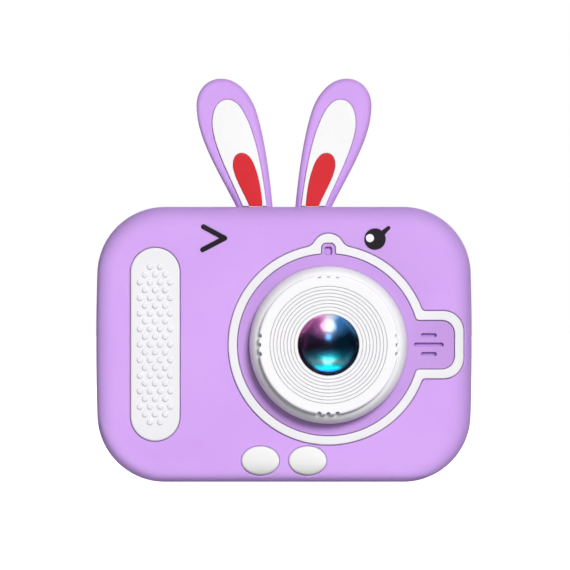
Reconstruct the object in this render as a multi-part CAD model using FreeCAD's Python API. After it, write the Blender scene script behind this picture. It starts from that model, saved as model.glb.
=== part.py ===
"""A children's digital camera in a soft rabbit jacket.

A hard ABS camera sits in a silicone sleeve that carries the ears, eyes and feet.
+X is to the right as seen from in front, the lens looks along -Y, and +Z is up.
The origin is at the bottom centre of the bounding box. All sizes are in millimetres.
"""

import FreeCAD, Part
import math
import os

V = FreeCAD.Vector

# ---- driving dimensions ---------------------------------------------------------------------
JACKET_W = 100.0
JACKET_H = 73.2
JACKET_D = 30.0
JACKET_WALL = 2.2  # top, bottom and sides
JACKET_SKIN = 2.0  # front and back
CORNER_R = 18.0
SIDE_R = 600.0  # the left and right sides bulge by this radius
FRONT_ROUND = 5.5
BACK_ROUND = 4.5
BACK_LIP = 4.4  # how far the jacket reaches over the camera's back
LENS_REACH = 11.0  # how far the lens stands out of the jacket
EAR_TOP = 107.4
EAR_THICK = 7.0
CASE_WALL = 1.8
FIT = 0.05  # gap between neighbours that touch in use
SLIDE_GAP = 0.2  # gap round a button
CLICK = 0.5  # travel of a button on the back
SHUTTER_CLICK = 0.8

# ---- places that follow from them -----------------------------------------------------------
DEPTH = JACKET_D + LENS_REACH
LENS_TIP = -DEPTH / 2
JACKET_FRONT = LENS_TIP + LENS_REACH
JACKET_BACK = DEPTH / 2
MID_Z = JACKET_H / 2
CASE_FRONT = JACKET_FRONT + JACKET_SKIN
CASE_BACK = JACKET_BACK - JACKET_SKIN
CASE_W = JACKET_W - 2 * JACKET_WALL
CASE_H = JACKET_H - 2 * JACKET_WALL
CASE_TOP = JACKET_H - JACKET_WALL
CASE_SIDE = CASE_W / 2
INNER_FRONT = CASE_FRONT + CASE_WALL
INNER_BACK = CASE_BACK - CASE_WALL
INNER_SIDE = CASE_SIDE - CASE_WALL
PARTING = CASE_FRONT + 15.5

# lens and its surround
LENS_X = 11.8
LENS_Z = 36.5
GLASS_R = 8.1
BEZEL_R = 18.6
BARREL_R = 21.0
SURROUND = {  # outline of the surround's outer edge, measured from the lens axis
    "ring": 26.6, "bump": 4.25, "bump_at": 25.35, "bump_fillet": 3.4,
    "tab_half": 9.0, "tab_end": 36.0, "tab_corner": 5.5, "tab_fillet": 1.1,
}
PANEL = {  # outline of its inner edge
    "ring": 24.3, "bump": 1.92, "bump_at": 25.2, "bump_fillet": 0.3,
    "tab_half": 6.55, "tab_end": 33.6, "tab_corner": 3.5, "tab_fillet": 1.0,
}
PROUD = 0.5  # surround, grip and face pieces above the jacket
SLOT_PITCH = 2.5
SLOT_H = 1.1

# grip pad
GRIP_X = -34.25
GRIP_W = 13.1
GRIP_L = 51.4
STUD_R = 0.83
STUD_PITCH_X = 2.7
STUD_PITCH_Z = 2.065
STUD_ROWS = 21

# face and feet
WINK = ((-21.4, 67.9), (-15.75, 64.85), (-21.6, 61.8))
WINK_R = 0.68
EYE_AT = (24.2, 64.6)
EYE_R = 2.86
GLINT_AT = (22.85, 64.85)
GLINT_R = 1.1
LASH = ((26.0, 66.0), (27.8, 67.6))
LASH_R = 0.5
INLAY_DEPTH = 0.8
FOOT_AT = (6.28, 5.66)
FOOT_RX = 5.05
FOOT_RZ = 3.87
EAR_Y = JACKET_FRONT + 12.0
EAR_RIM_ROUND = 2.6
EAR_POCKET = 1.2

# screen and controls on the back
SCREEN_X = 10.0
WINDOW_W = 52.0
WINDOW_H = 40.0
WINDOW_CORNER = 4.0
WINDOW_THICK = 1.4
LEDGE = 4.0
PAD_X = -30.0
PAD_Z = 35.5
ARROW_STEP = 7.6
CAP_PROUD = 0.9
BUTTONS = {  # name: (x, z, radius)
    "ok_button": (PAD_X, PAD_Z, 3.3),
    "up_button": (PAD_X, PAD_Z + ARROW_STEP, 2.9),
    "down_button": (PAD_X, PAD_Z - ARROW_STEP, 2.9),
    "left_button": (PAD_X + ARROW_STEP, PAD_Z, 2.9),
    "right_button": (PAD_X - ARROW_STEP, PAD_Z, 2.9),
    "power_button": (PAD_X + 6.0, 57.5, 2.8),
    "menu_button": (PAD_X - 6.0, 57.5, 2.8),
}
SHUTTER_X = -28.0
SHUTTER_Y = CASE_FRONT + 9.5
SHUTTER_R = 4.0
SELFIE_AT = (SCREEN_X, 61.7)
SELFIE_R = 3.9
SPEAKER_AT = (-29.0, 13.5)
SPEAKER_R = 7.5
LED_AT = (PAD_X, 50.0)
LED_R = 0.8

# inside
BOARD_Y = CASE_FRONT + 15.7
BOARD_THICK = 1.2
BOARD_BACK = BOARD_Y + BOARD_THICK
CASE_SCREWS = [(sx * 40.0, MID_Z + sz * 26.5) for sx in (-1, 1) for sz in (-1, 1)]
BOARD_SCREWS = [(-16.5, 11.0), (-16.5, 62.0), (38.0, 17.0), (38.0, 56.0)]
USB_Z = 45.0
CARD_Z = 28.5
CARD = (15.0, 0.8, 11.0)  # length, thickness, width
CARD_Y = BOARD_BACK + 0.6
STRAP_Y = (CASE_FRONT + 17.6, CASE_FRONT + 21.8)
STRAP_HALF = 4.3
STRAP_DEPTH = 5.2
STRAP_BAR_R = 1.1


# ---- small tools ----------------------------------------------------------------------------
def polar(cx, cz, radius, degrees):
    angle = math.radians(degrees)
    return cx + radius * math.cos(angle), cz + radius * math.sin(angle)


def arc(cx, cz, radius, start, end):
    """An arc in the XZ plane, from start to end degrees."""
    places = [polar(cx, cz, radius, start + (end - start) * t) for t in (0, 0.5, 1)]
    return Part.Arc(*[V(x, 0, z) for x, z in places]).toShape()


def line(a, b):
    return Part.makeLine(V(a[0], 0, a[1]), V(b[0], 0, b[1]))


def bezier(*places):
    curve = Part.BezierCurve()
    curve.setPoles([V(x, 0, z) for x, z in places])
    return curve.toShape()


def prism(edges, y0, y1):
    """The closed outline in XZ, pushed from y0 to y1."""
    wire = Part.Wire(Part.__sortEdges__(edges))
    wire.translate(V(0, y0, 0))
    return Part.Face(wire).extrude(V(0, y1 - y0, 0))


def soft_rectangle(inset):
    """The jacket's front outline taken in by inset: flat top and bottom, round corners, bulging sides."""
    r, side_r = CORNER_R - inset, SIDE_R - inset
    side_x, corner_z = JACKET_W / 2 - SIDE_R, MID_Z - CORNER_R
    corner_x = side_x + math.sqrt((SIDE_R - CORNER_R) ** 2 - corner_z**2)
    lean = math.degrees(math.asin(corner_z / (SIDE_R - CORNER_R)))
    edges = [arc(side_x, MID_Z, side_r, -lean, lean), arc(-side_x, MID_Z, side_r, 180 - lean, 180 + lean)]
    for s in (-1, 1):
        z = MID_Z + s * corner_z
        edges.append(line((-corner_x, z + s * r), (corner_x, z + s * r)))
        edges.append(arc(corner_x, z, r, s * lean, s * 90))
        edges.append(arc(-corner_x, z, r, s * 90, s * (180 - lean)))
    return edges


def edges_at(shape, y):
    return [e for e in shape.Edges if all(abs(v.Y - y) < 1e-6 for v in e.Vertexes)]


def soft_block(inset, front, back, front_round, back_round):
    """The jacket's own shape, taken in by inset on its four sides, between two depths."""
    slab = prism(soft_rectangle(inset), front, back)
    slab = slab.makeFillet(front_round, edges_at(slab, front))
    return slab.makeFillet(back_round, edges_at(slab, back))


def grown_jacket(by):
    """The jacket's outside, grown by so much all round (or shrunk, if negative)."""
    return soft_block(-by, JACKET_FRONT - by, JACKET_BACK + by, FRONT_ROUND + by, BACK_ROUND + by)


def surround_outline(shape, grow=0.0):
    """A ring with a bump on top and a tab to the right, joined by fillets, taken out by grow all round."""
    ring, bump = shape["ring"] + grow, shape["bump"] + grow
    half, end, corner = shape["tab_half"] + grow, shape["tab_end"] + grow, shape["tab_corner"] + grow
    tab_fillet, bump_fillet = shape["tab_fillet"] - grow, shape["bump_fillet"] - grow
    bump_at = shape["bump_at"]
    tab_x = math.sqrt((ring + tab_fillet) ** 2 - (half + tab_fillet) ** 2)
    tab_angle = math.degrees(math.atan2(half + tab_fillet, tab_x))
    reach, near = ring + bump_fillet, bump + bump_fillet
    bump_z = (reach**2 - near**2 + bump_at**2) / (2 * bump_at)
    bump_x = math.sqrt(reach**2 - bump_z**2)
    bump_angle = math.degrees(math.atan2(bump_z, bump_x))
    lean = math.degrees(math.atan2(bump_z - bump_at, bump_x))
    x, z = LENS_X, LENS_Z
    edges = [
        line((x + end, z - half + corner), (x + end, z + half - corner)),
        arc(x, z, ring, tab_angle, bump_angle),
        arc(x + bump_x, z + bump_z, bump_fillet, 180 + bump_angle, 180 + lean),
        arc(x, z + bump_at, bump, lean, 180 - lean),
        arc(x - bump_x, z + bump_z, bump_fillet, -lean, -bump_angle),
        arc(x, z, ring, 180 - bump_angle, 360 - tab_angle),
    ]
    for s in (-1, 1):
        edges.append(arc(x + end - corner, z + s * (half - corner), corner, 0, s * 90))
        edges.append(line((x + end - corner, z + s * half), (x + tab_x, z + s * half)))
        join_z = z + s * (half + tab_fillet)
        edges.append(arc(x + tab_x, join_z, tab_fillet, -s * 90, -s * (180 - tab_angle)))
    return edges


def rod(x, y, z, radius, length, along=V(0, 1, 0)):
    return Part.makeCylinder(radius, length, V(x, y, z), along)


def block(x0, x1, y0, y1, z0, z1):
    return Part.makeBox(x1 - x0, y1 - y0, z1 - z0, V(x0, y0, z0))


def rounded_plate(cx, cz, width, height, corner, y0, y1):
    plate = block(cx - width / 2, cx + width / 2, y0, y1, cz - height / 2, cz + height / 2)
    upright = [e for e in plate.Edges if abs(e.Vertexes[0].Y - e.Vertexes[1].Y) > 1e-6]
    return plate.makeFillet(corner, upright)


def stadium(cx, cz, length, height, y0, y1):
    """A bar with round ends, lying along X."""
    half, r = length / 2 - height / 2, height / 2
    edges = [line((cx - half, cz - r), (cx + half, cz - r)), line((cx - half, cz + r), (cx + half, cz + r))]
    edges += [arc(cx + half, cz, r, -90, 90), arc(cx - half, cz, r, 90, 270)]
    return prism(edges, y0, y1)


def stroke(a, b, radius, y0, y1):
    """A straight pen stroke with round ends."""
    length = math.dist(a, b)
    bar = stadium(0, 0, length + 2 * radius, 2 * radius, y0, y1)
    bar.rotate(V(0, 0, 0), V(0, 1, 0), -math.degrees(math.atan2(b[1] - a[1], b[0] - a[0])))
    bar.translate(V((a[0] + b[0]) / 2, 0, (a[1] + b[1]) / 2))
    return bar


def turned(profile, x=LENS_X, z=LENS_Z):
    """Turns a closed (radius, y) outline about an axis along Y. A triple holds an arc's middle and end."""
    edges = []
    here = profile[0]
    for step in profile[1:] + [profile[0]]:
        if len(step) == 4:
            middle, end = step[:2], step[2:]
            places = [V(x + r, y, z) for r, y in (here, middle, end)]
            edges.append(Part.Arc(*places).toShape())
        else:
            end = step
            edges.append(Part.makeLine(V(x + here[0], here[1], z), V(x + end[0], end[1], z)))
        here = end
    return Part.Face(Part.Wire(edges)).revolve(V(x, 0, z), V(0, 1, 0), 360)


def dome(radius, rim_y, pole_y, t):
    """A point t of the way from the axis to the rim of a spherical cap."""
    sag = rim_y - pole_y
    ball = (radius**2 + sag**2) / (2 * abs(sag))
    r = radius * t
    return r, pole_y + math.copysign(ball - math.sqrt(ball**2 - r**2), sag)


def union(shapes):
    return shapes[0].multiFuse(shapes[1:]).removeSplitter() if len(shapes) > 1 else shapes[0]


def wire_tube(places, radius):
    """A round wire along straight runs joined by tangent arcs."""
    points = [V(*p) for p in places]
    edges, here = [], points[0]
    for a, b, c in zip(points, points[1:], points[2:]):
        into, out = (b - a).normalize(), (c - b).normalize()
        turn = into.getAngle(out)
        cut = 0.45 * min(a.distanceToPoint(b), b.distanceToPoint(c))
        bend = cut / math.tan(turn / 2)
        start, end = b - into * cut, b + out * cut
        inward = (out - into).normalize()
        centre = b + inward * (bend / math.cos(turn / 2))
        edges += [Part.makeLine(here, start), Part.Arc(start, centre - inward * bend, end).toShape()]
        here = end
    edges.append(Part.makeLine(here, points[-1]))
    first = (points[1] - points[0]).normalize()
    ring = Part.Wire(Part.makeCircle(radius, points[0], first))
    return Part.Wire(edges).makePipeShell([ring], True, False)


# ---- the silicone jacket and what is set into it --------------------------------------------
def ear_outlines():
    """Edges of the left ear's outside, its white lining and its red middle, open at the foot."""
    ear = [
        bezier((-12.1, 72.0), (-17.1, 82.2), (-23.3, 91.2), (-23.3, 100.2)),
        bezier((-23.3, 100.2), (-23.3, 104.3), (-20.6, EAR_TOP), (-16.7, EAR_TOP)),
        bezier((-16.7, EAR_TOP), (-12.0, EAR_TOP), (-8.6, 102.8), (-7.2, 98.1)),
        bezier((-7.2, 98.1), (-4.9, 90.4), (-3.7, 80.6), (-2.9, 72.0)),
    ]
    lining = [
        bezier((-11.0, JACKET_H), (-14.2, 81.0), (-19.1, 89.8), (-19.1, 95.6)),
        bezier((-19.1, 95.6), (-19.1, 99.2), (-17.6, 101.8), (-15.0, 101.8)),
        bezier((-15.0, 101.8), (-12.6, 101.8), (-10.7, 99.0), (-9.1, 94.8)),
        bezier((-9.1, 94.8), (-6.6, 88.2), (-5.5, 80.3), (-4.6, JACKET_H)),
    ]
    accent = [
        bezier((-9.2, JACKET_H), (-10.7, 77.1), (-13.6, 81.4), (-13.6, 84.5)),
        bezier((-13.6, 84.5), (-13.6, 86.3), (-12.7, 87.5), (-11.3, 87.5)),
        bezier((-11.3, 87.5), (-9.7, 87.5), (-8.5, 86.0), (-7.6, 83.2)),
        bezier((-7.6, 83.2), (-6.6, 80.5), (-6.0, 76.5), (-5.8, JACKET_H)),
    ]
    return ear, lining, accent


def closed(edges):
    start, end = edges[0].Vertexes[0].Point, edges[-1].Vertexes[-1].Point
    return edges + [Part.makeLine(end, start)]


def mirrored(shape):
    return shape.mirror(V(0, 0, 0), V(1, 0, 0))


def ears():
    """(ear, lining, accent) solids of the left ear."""
    front, back = EAR_Y - EAR_THICK / 2, EAR_Y + EAR_THICK / 2
    ear_edges, lining_edges, accent_edges = ear_outlines()
    ear = prism(closed(ear_edges), front, back)
    rims = [e for y in (front, back) for e in edges_at(ear, y) if e.BoundBox.ZMax > 73]
    ear = ear.makeFillet(EAR_RIM_ROUND, rims)
    lining = prism(closed(lining_edges), front - 0.3, front + EAR_POCKET)
    accent = prism(closed(accent_edges), front - 0.5, front + 0.5)
    ear = ear.cut(lining)
    return ear, lining.cut(accent), accent


def face_pieces():
    """Black eyes, the white glint and the white feet, set into pockets of the jacket."""
    front = JACKET_FRONT - PROUD
    back = JACKET_FRONT + INLAY_DEPTH
    wink = union([stroke(a, b, WINK_R, front, back) for a, b in zip(WINK, WINK[1:])])
    eye = union([rod(EYE_AT[0], front, EYE_AT[1], EYE_R, back - front), stroke(*LASH, LASH_R, front, back)])
    glint = rod(GLINT_AT[0], front - 0.2, GLINT_AT[1], GLINT_R, 0.7)
    return {"wink_eye": wink, "round_eye": eye.cut(glint), "eye_glint": glint}


def foot(grow, bottom, top):
    """An oval pad through the jacket's front, between two depths below (or above) its skin."""
    oval = Part.Ellipse(V(0, 0, 0), FOOT_RX + grow, FOOT_RZ + grow).toShape()
    face = Part.Face(Part.Wire([oval]))
    face.rotate(V(0, 0, 0), V(1, 0, 0), 90)
    face.translate(V(FOOT_AT[0], JACKET_FRONT - 3, FOOT_AT[1]))
    return face.extrude(V(0, 8, 0)).common(grown_jacket(top)).cut(grown_jacket(bottom))


def grip_outline(grow):
    r = GRIP_W / 2 + grow
    low, high = MID_Z - GRIP_L / 2 + GRIP_W / 2, MID_Z + GRIP_L / 2 - GRIP_W / 2
    return [
        line((GRIP_X + r, low), (GRIP_X + r, high)), arc(GRIP_X, high, r, 0, 180),
        line((GRIP_X - r, high), (GRIP_X - r, low)), arc(GRIP_X, low, r, 180, 360),
    ]


def jacket(case, ear):
    """The sleeve: camera-shaped inside, open at the surround, grip, back, shutter, ports and strap bar."""
    body = union([grown_jacket(0), ear, mirrored(ear)])
    body = body.cut(case)
    body = body.cut(prism(surround_outline(SURROUND, 2 * FIT), JACKET_FRONT - 2, CASE_FRONT + 4))
    body = body.cut(prism(grip_outline(2 * FIT), JACKET_FRONT - 2, CASE_FRONT + 1))
    body = body.cut(prism(soft_rectangle(JACKET_WALL + BACK_LIP), CASE_BACK - 1, JACKET_BACK + 1))
    body = body.cut(rod(SHUTTER_X, SHUTTER_Y, CASE_TOP - 1, SHUTTER_R + 1.2, JACKET_WALL + 2, V(0, 0, 1)))
    ports = [BOARD_BACK - 2.2, BOARD_BACK + 5.4]
    body = body.cut(block(CASE_SIDE - 1, JACKET_W / 2 + 1, *ports, CARD_Z - 8.5, USB_Z + 7))
    strap = [STRAP_Y[0] - 0.6, STRAP_Y[1] + 0.6]
    half = STRAP_HALF + 0.6
    body = body.cut(block(-JACKET_W / 2 - 1, 1 - CASE_SIDE, *strap, MID_Z - half, MID_Z + half))
    for piece in face_pieces().values():
        body = body.cut(piece)
    pad = foot(FIT, -1.0, 2)
    return body.cut(pad).cut(mirrored(pad))


# ---- lens -----------------------------------------------------------------------------------
def lens_barrel():
    """White tube with a full round shoulder, on a flange, ending in a seat for the bezel."""
    base, seat = CASE_FRONT - FIT, LENS_TIP + 5.3
    shoulder = seat - 1.0
    return turned([
        (BARREL_R, base), (BARREL_R, shoulder + 4.6),
        (BARREL_R - 0.72, shoulder + 1.55, BEZEL_R + 0.1, shoulder), (BEZEL_R - 0.6, shoulder),
        (BEZEL_R - 0.6, seat), (GLASS_R + 3.4, seat),
        (GLASS_R + 3.4, INNER_FRONT + 1.5), (GLASS_R + 5.2, INNER_FRONT + 1.5), (GLASS_R + 5.2, base),
    ])


def lens_bezel():
    """White front ring: a flat rim, eight fine grooves round the glass, and twelve finger notches."""
    rim, back = LENS_TIP + 2.0, LENS_TIP + 5.2
    profile = [
        (BEZEL_R - 0.65, back), (BEZEL_R - 0.65, rim + 1.5), (BEZEL_R, rim + 1.5), (BEZEL_R, rim + 0.6),
        (BEZEL_R - 0.18, rim + 0.18, BEZEL_R - 0.6, rim),
    ]
    for n in range(8):
        r = 15.55 - n * 0.917
        profile += [(r + 0.14, rim), (r, rim + 0.22), (r - 0.14, rim)]
    profile += [(GLASS_R + FIT + 0.12, rim), (GLASS_R + FIT, rim + 0.12), (GLASS_R + FIT, back)]
    ring = turned(profile)
    notches = []
    for quarter in (0, 90, 180, 270):
        for lean in (-7.6, 0, 7.6):
            x, z = polar(LENS_X, LENS_Z, BEZEL_R - 0.15, quarter + lean)
            notches.append(rod(x, rim - 1, z, 0.62, 2.7))
    return ring.cut(Part.makeCompound(notches))


def lens_stack():
    """The glass dome and, behind it, the black holder, two lens elements, the filter and the sensor."""
    edge = LENS_TIP + 1.9
    holder_front, holder_back = LENS_TIP + 5.3, INNER_FRONT + 5.0
    curve = (*dome(GLASS_R, edge, LENS_TIP, 0.5), GLASS_R, edge)
    glass = turned([(0, LENS_TIP), curve, (GLASS_R, edge + 1.1), (0, edge + 1.1)])
    seat = holder_front + 4.5
    holder = turned([
        (GLASS_R + 3.3, holder_front), (GLASS_R + 3.3, holder_front + 1.2), (7.2, holder_front + 1.2),
        (7.2, holder_back), (3.4, holder_back), (3.4, holder_back - 3.2),
        (4.6, holder_back - 3.2), (4.6, seat), (6.65, seat), (6.65, holder_front + 0.4),
        (6.95, edge + 1.25), (GLASS_R - 0.05, edge + 1.25), (GLASS_R - 0.05, holder_front),
    ])
    rim_y, pole_y = holder_front + 0.5, holder_front + 2.15
    curve = (*dome(6.6, rim_y, pole_y, 0.5), 6.6, rim_y)
    front_element = turned([(0, pole_y), curve, (6.6, seat - FIT), (0, seat - FIT)])
    back_y = holder_back - 5.5
    curve = (*dome(4.5, back_y + 1.3, back_y + 2.1, 0.5), 0, back_y + 2.1)
    back_element = turned([(0, back_y), (4.5, back_y), (4.5, back_y + 1.3), curve])
    blind = turned([(2.0, back_y - 1.0), (4.5, back_y - 1.0), (4.5, back_y - 0.7), (2.0, back_y - 0.7)])
    filter_y = holder_back - 1.2
    x, z = LENS_X, LENS_Z
    return {
        "front_glass": glass,
        "lens_holder": holder,
        "front_lens_element": front_element,
        "aperture_stop": blind,
        "rear_lens_element": back_element,
        "infrared_filter": rod(x, filter_y, z, 3.3, 0.5),
        "image_sensor": block(x - 2.3, x + 2.3, holder_back - 0.65, holder_back - FIT, z - 2.2, z + 2.2),
        "sensor_board": rounded_plate(x, z, 18, 18, 1.5, holder_back, holder_back + 1.0),
    }


# ---- front of the case ----------------------------------------------------------------------
def case_shell():
    """(outside, cavity) of the hard case."""
    rounds = (FRONT_ROUND - JACKET_WALL, BACK_ROUND - JACKET_WALL)
    outside = soft_block(JACKET_WALL, CASE_FRONT, CASE_BACK, *rounds)
    inset = JACKET_WALL + CASE_WALL
    cavity = soft_block(inset, INNER_FRONT, INNER_BACK, 1.5, 1.0)
    return outside, cavity


def rim_ring(outer_inset, inner_inset, y0, y1):
    return prism(soft_rectangle(outer_inset), y0, y1).cut(prism(soft_rectangle(inner_inset), y0, y1))


def front_cover(outside, cavity):
    """Front shell with screw bosses, board pillars and a rebate for the rear shell's tongue."""
    shell = outside.cut(cavity).common(block(-60, 60, CASE_FRONT - 1, PARTING, -5, 90))
    wall = JACKET_WALL + CASE_WALL
    shell = shell.cut(rim_ring(JACKET_WALL + 0.85, wall + 1, PARTING - 1.3, PARTING + 1))
    inside = cavity.common(block(-60, 60, CASE_FRONT, PARTING - 1.4, -5, 90))
    boss = PARTING - 1.0 - INNER_FRONT
    adds = [rod(x, INNER_FRONT - 0.5, z, 2.7, boss).common(inside) for x, z in CASE_SCREWS]
    adds += [rod(x, INNER_FRONT - 0.5, z, 2.1, BOARD_Y - INNER_FRONT + 0.5) for x, z in BOARD_SCREWS]
    shell = union([shell] + adds)
    cuts = [rod(LENS_X, CASE_FRONT - 1, LENS_Z, GLASS_R + 5.25, 5)]
    cuts += [rod(x, CASE_FRONT + 3, z, 1.02, 20) for x, z in CASE_SCREWS]
    cuts += [rod(x, BOARD_Y - 7, z, 0.82, 8) for x, z in BOARD_SCREWS]
    cuts += [rod(SHUTTER_X, SHUTTER_Y, CASE_TOP - 3, SHUTTER_R + SLIDE_GAP, 5, V(0, 0, 1))]
    cuts += [rod(LENS_X, CASE_FRONT - 1, LENS_Z + PANEL["bump_at"], 0.5, 4)]
    for x, z in grip_pins():
        cuts.append(rod(x, CASE_FRONT - 1, z, 0.9, 4))
    return shell.cut(Part.makeCompound(cuts))


def surround_ring(outside):
    ring = prism(surround_outline(SURROUND), JACKET_FRONT - 2, CASE_FRONT + 4)
    ring = ring.cut(prism(surround_outline(PANEL), JACKET_FRONT - 3, CASE_FRONT + 5))
    return ring.common(grown_jacket(PROUD)).cut(outside)


def front_panel(outside):
    """Purple panel inside the surround, with three shallow slots and a microphone pocket."""
    panel = prism(surround_outline(PANEL, -2 * FIT), JACKET_FRONT - 2, CASE_FRONT + 4)
    panel = panel.common(grown_jacket(0)).cut(outside)
    panel = panel.cut(rod(LENS_X, JACKET_FRONT - 3, LENS_Z, BARREL_R + FIT, 9))
    deep = JACKET_FRONT + 0.7
    for n, length in ((-1, 4.2), (0, 7.9), (1, 4.2)):
        slot_z = LENS_Z + n * SLOT_PITCH
        panel = panel.cut(stadium(LENS_X + 26.75, slot_z, length, SLOT_H, JACKET_FRONT - 1, deep))
    pocket_z = LENS_Z + PANEL["bump_at"]
    panel = panel.cut(rounded_plate(LENS_X, pocket_z - 0.1, 2.0, 2.4, 0.6, JACKET_FRONT - 1, JACKET_FRONT + 0.5))
    return panel.cut(rod(LENS_X, JACKET_FRONT - 1, pocket_z, 0.4, 4))


def grip_pins():
    return [(GRIP_X, MID_Z + s * 17.0) for s in (-1, 1)]


def stud_places():
    """Rows of four and three studs by turns, with two in the first row and the last."""
    places = []
    for row in range(STUD_ROWS):
        count = 2 if row in (0, STUD_ROWS - 1) else (4 if row % 2 == 0 else 3)
        z = MID_Z + (row - (STUD_ROWS - 1) / 2) * STUD_PITCH_Z
        places += [(GRIP_X + (n - (count - 1) / 2) * STUD_PITCH_X, z) for n in range(count)]
    return places


def grip_pad():
    """White pad that shows through the jacket, with low studs and two pins into the case."""
    top = JACKET_FRONT - PROUD
    pad = prism(grip_outline(0), top, CASE_FRONT - FIT)
    pad = pad.makeFillet(0.4, edges_at(pad, top))
    stud = Part.makeCone(STUD_R, STUD_R - 0.25, 0.3, V(0, top + 0.02, 0), V(0, -1, 0))
    studs = [stud.translated(V(x, 0, z)) for x, z in stud_places()]
    pins = [rod(x, CASE_FRONT - 0.5, z, 0.85, 2.2) for x, z in grip_pins()]
    return union([pad] + studs + pins)


# ---- back of the case -----------------------------------------------------------------------
def speaker_holes():
    places = [SPEAKER_AT]
    places += [polar(*SPEAKER_AT, 2.4, 60 * n) for n in range(6)]
    return places + [polar(*SPEAKER_AT, 4.8, 30 * n) for n in range(12)]


def rear_cover(outside, cavity):
    """Rear shell with its tongue, screw tubes, screen ledge, button holes, ports and strap bar."""
    shell = outside.cut(cavity).common(block(-60, 60, PARTING, CASE_BACK + 1, -5, 90))
    wall = JACKET_WALL + CASE_WALL
    tongue = rim_ring(JACKET_WALL + 0.9, wall, PARTING - 1.2, PARTING + 0.5)
    tube_front = PARTING - 1.4
    inside = cavity.common(block(-60, 60, tube_front, CASE_BACK, -5, 90))
    tube = INNER_BACK + 0.5 - tube_front
    adds = [rod(x, tube_front, z, 2.7, tube).common(inside) for x, z in CASE_SCREWS]
    ledge_back = CASE_BACK - WINDOW_THICK - 0.1
    ledge = (ledge_back - 1.2, INNER_BACK + 0.5)
    strap_back = -CASE_SIDE + STRAP_DEPTH
    strap_y = (STRAP_Y[0] - 1.2, STRAP_Y[1] + 1.2)
    strap_z = (MID_Z - STRAP_HALF - 1.2, MID_Z + STRAP_HALF + 1.2)
    adds.append(tongue)
    adds.append(rounded_plate(SCREEN_X, LENS_Z, WINDOW_W + 3, WINDOW_H + 3, 4.5, *ledge))
    adds.append(block(-CASE_SIDE + 1, strap_back + 1.2, *strap_y, *strap_z))
    shell = union([shell] + adds)
    snug = (WINDOW_W + 0.2, WINDOW_H + 0.2, WINDOW_CORNER + 0.1)
    sight = (WINDOW_W - 2 * LEDGE, WINDOW_H - 2 * LEDGE, 1.5)
    card_y = (CARD_Y - 0.2, CARD_Y + CARD[1] + 0.2)
    card_z = (CARD_Z - CARD[2] / 2 - 0.2, CARD_Z + CARD[2] / 2 + 0.2)
    cuts = [
        rounded_plate(SCREEN_X, LENS_Z, *snug, ledge_back, CASE_BACK + 1),
        rounded_plate(SCREEN_X, LENS_Z, *sight, ledge_back - 4, CASE_BACK + 1),
        rod(SELFIE_AT[0], CASE_BACK - 1.15, SELFIE_AT[1], SELFIE_R + 0.1, 3),
        rod(SELFIE_AT[0], CASE_BACK - 4, SELFIE_AT[1], SELFIE_R - 1.2, 6),
        rod(LED_AT[0], CASE_BACK - 4, LED_AT[1], LED_R + FIT, 6),
        block(CASE_SIDE - 4, CASE_SIDE + 1, BOARD_BACK - 0.1, BOARD_BACK + 3.4, USB_Z - 4.8, USB_Z + 4.8),
        block(CASE_SIDE - 4, CASE_SIDE + 1, *card_y, *card_z),
        block(-CASE_SIDE - 1, strap_back, *STRAP_Y, MID_Z - STRAP_HALF, MID_Z + STRAP_HALF),
    ]
    cuts += [rod(x, CASE_BACK - 4, z, r + SLIDE_GAP, 6) for x, z, r in BUTTONS.values()]
    cuts += [rod(x, CASE_BACK - 4, z, 0.6, 6) for x, z in speaker_holes()]
    for x, z in CASE_SCREWS:
        cuts.append(rod(x, tube_front - 1, z, 1.15, 20))
        cuts.append(rod(x, CASE_BACK - 6.0, z, 2.1, 8))
    shell = shell.cut(Part.makeCompound(cuts))
    bar_length = STRAP_Y[1] - STRAP_Y[0] + 1.0
    bar = rod(-CASE_SIDE + STRAP_BAR_R + 0.1, STRAP_Y[0] - 0.5, MID_Z, STRAP_BAR_R, bar_length)
    return union([shell, bar])


def button_cap(x, z, radius):
    """A cap that stands out of the case, with a flange behind the wall and a stem to its switch."""
    crown = CASE_BACK + CAP_PROUD
    flange = INNER_BACK - 0.15
    cap = rod(x, flange - 0.5, z, radius, crown - flange + 0.5)
    cap = cap.makeFillet(0.5, [e for e in edges_at(cap, crown) if e.Length > 1])
    stem_end = BOARD_BACK + 2.1 + CLICK + 0.1
    stem = rod(x, stem_end, z, 1.3, flange - 0.5 - stem_end)
    return union([cap, rod(x, flange - 0.8, z, radius + 0.6, 0.8), stem])


def shutter_button():
    up = V(0, 0, 1)
    crown = JACKET_H - 0.5
    flange_top = CASE_TOP - CASE_WALL - 0.15
    cap = rod(SHUTTER_X, SHUTTER_Y, flange_top - 0.5, SHUTTER_R, crown - flange_top + 0.5, up)
    top_edge = [e for e in cap.Edges if e.BoundBox.ZMin > crown - 0.01]
    cap = cap.makeFillet(0.7, top_edge)
    flange = rod(SHUTTER_X, SHUTTER_Y, flange_top - 0.9, SHUTTER_R + 0.8, 0.9, up)
    stem = rod(SHUTTER_X, SHUTTER_Y, flange_top - 2.4, 1.4, 2.0, up)
    return union([cap, flange, stem])


def switch_group():
    """Tact switches on the back of the board: a can with a round plunger under each button."""
    made = []
    for x, z, _ in BUTTONS.values():
        can = block(x - 2.3, x + 2.3, BOARD_BACK, BOARD_BACK + 1.5, z - 2.3, z + 2.3)
        made.append(can.fuse(rod(x, BOARD_BACK + 1.4, z, 1.1, 0.7)))
    return Part.makeCompound(made)


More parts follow.
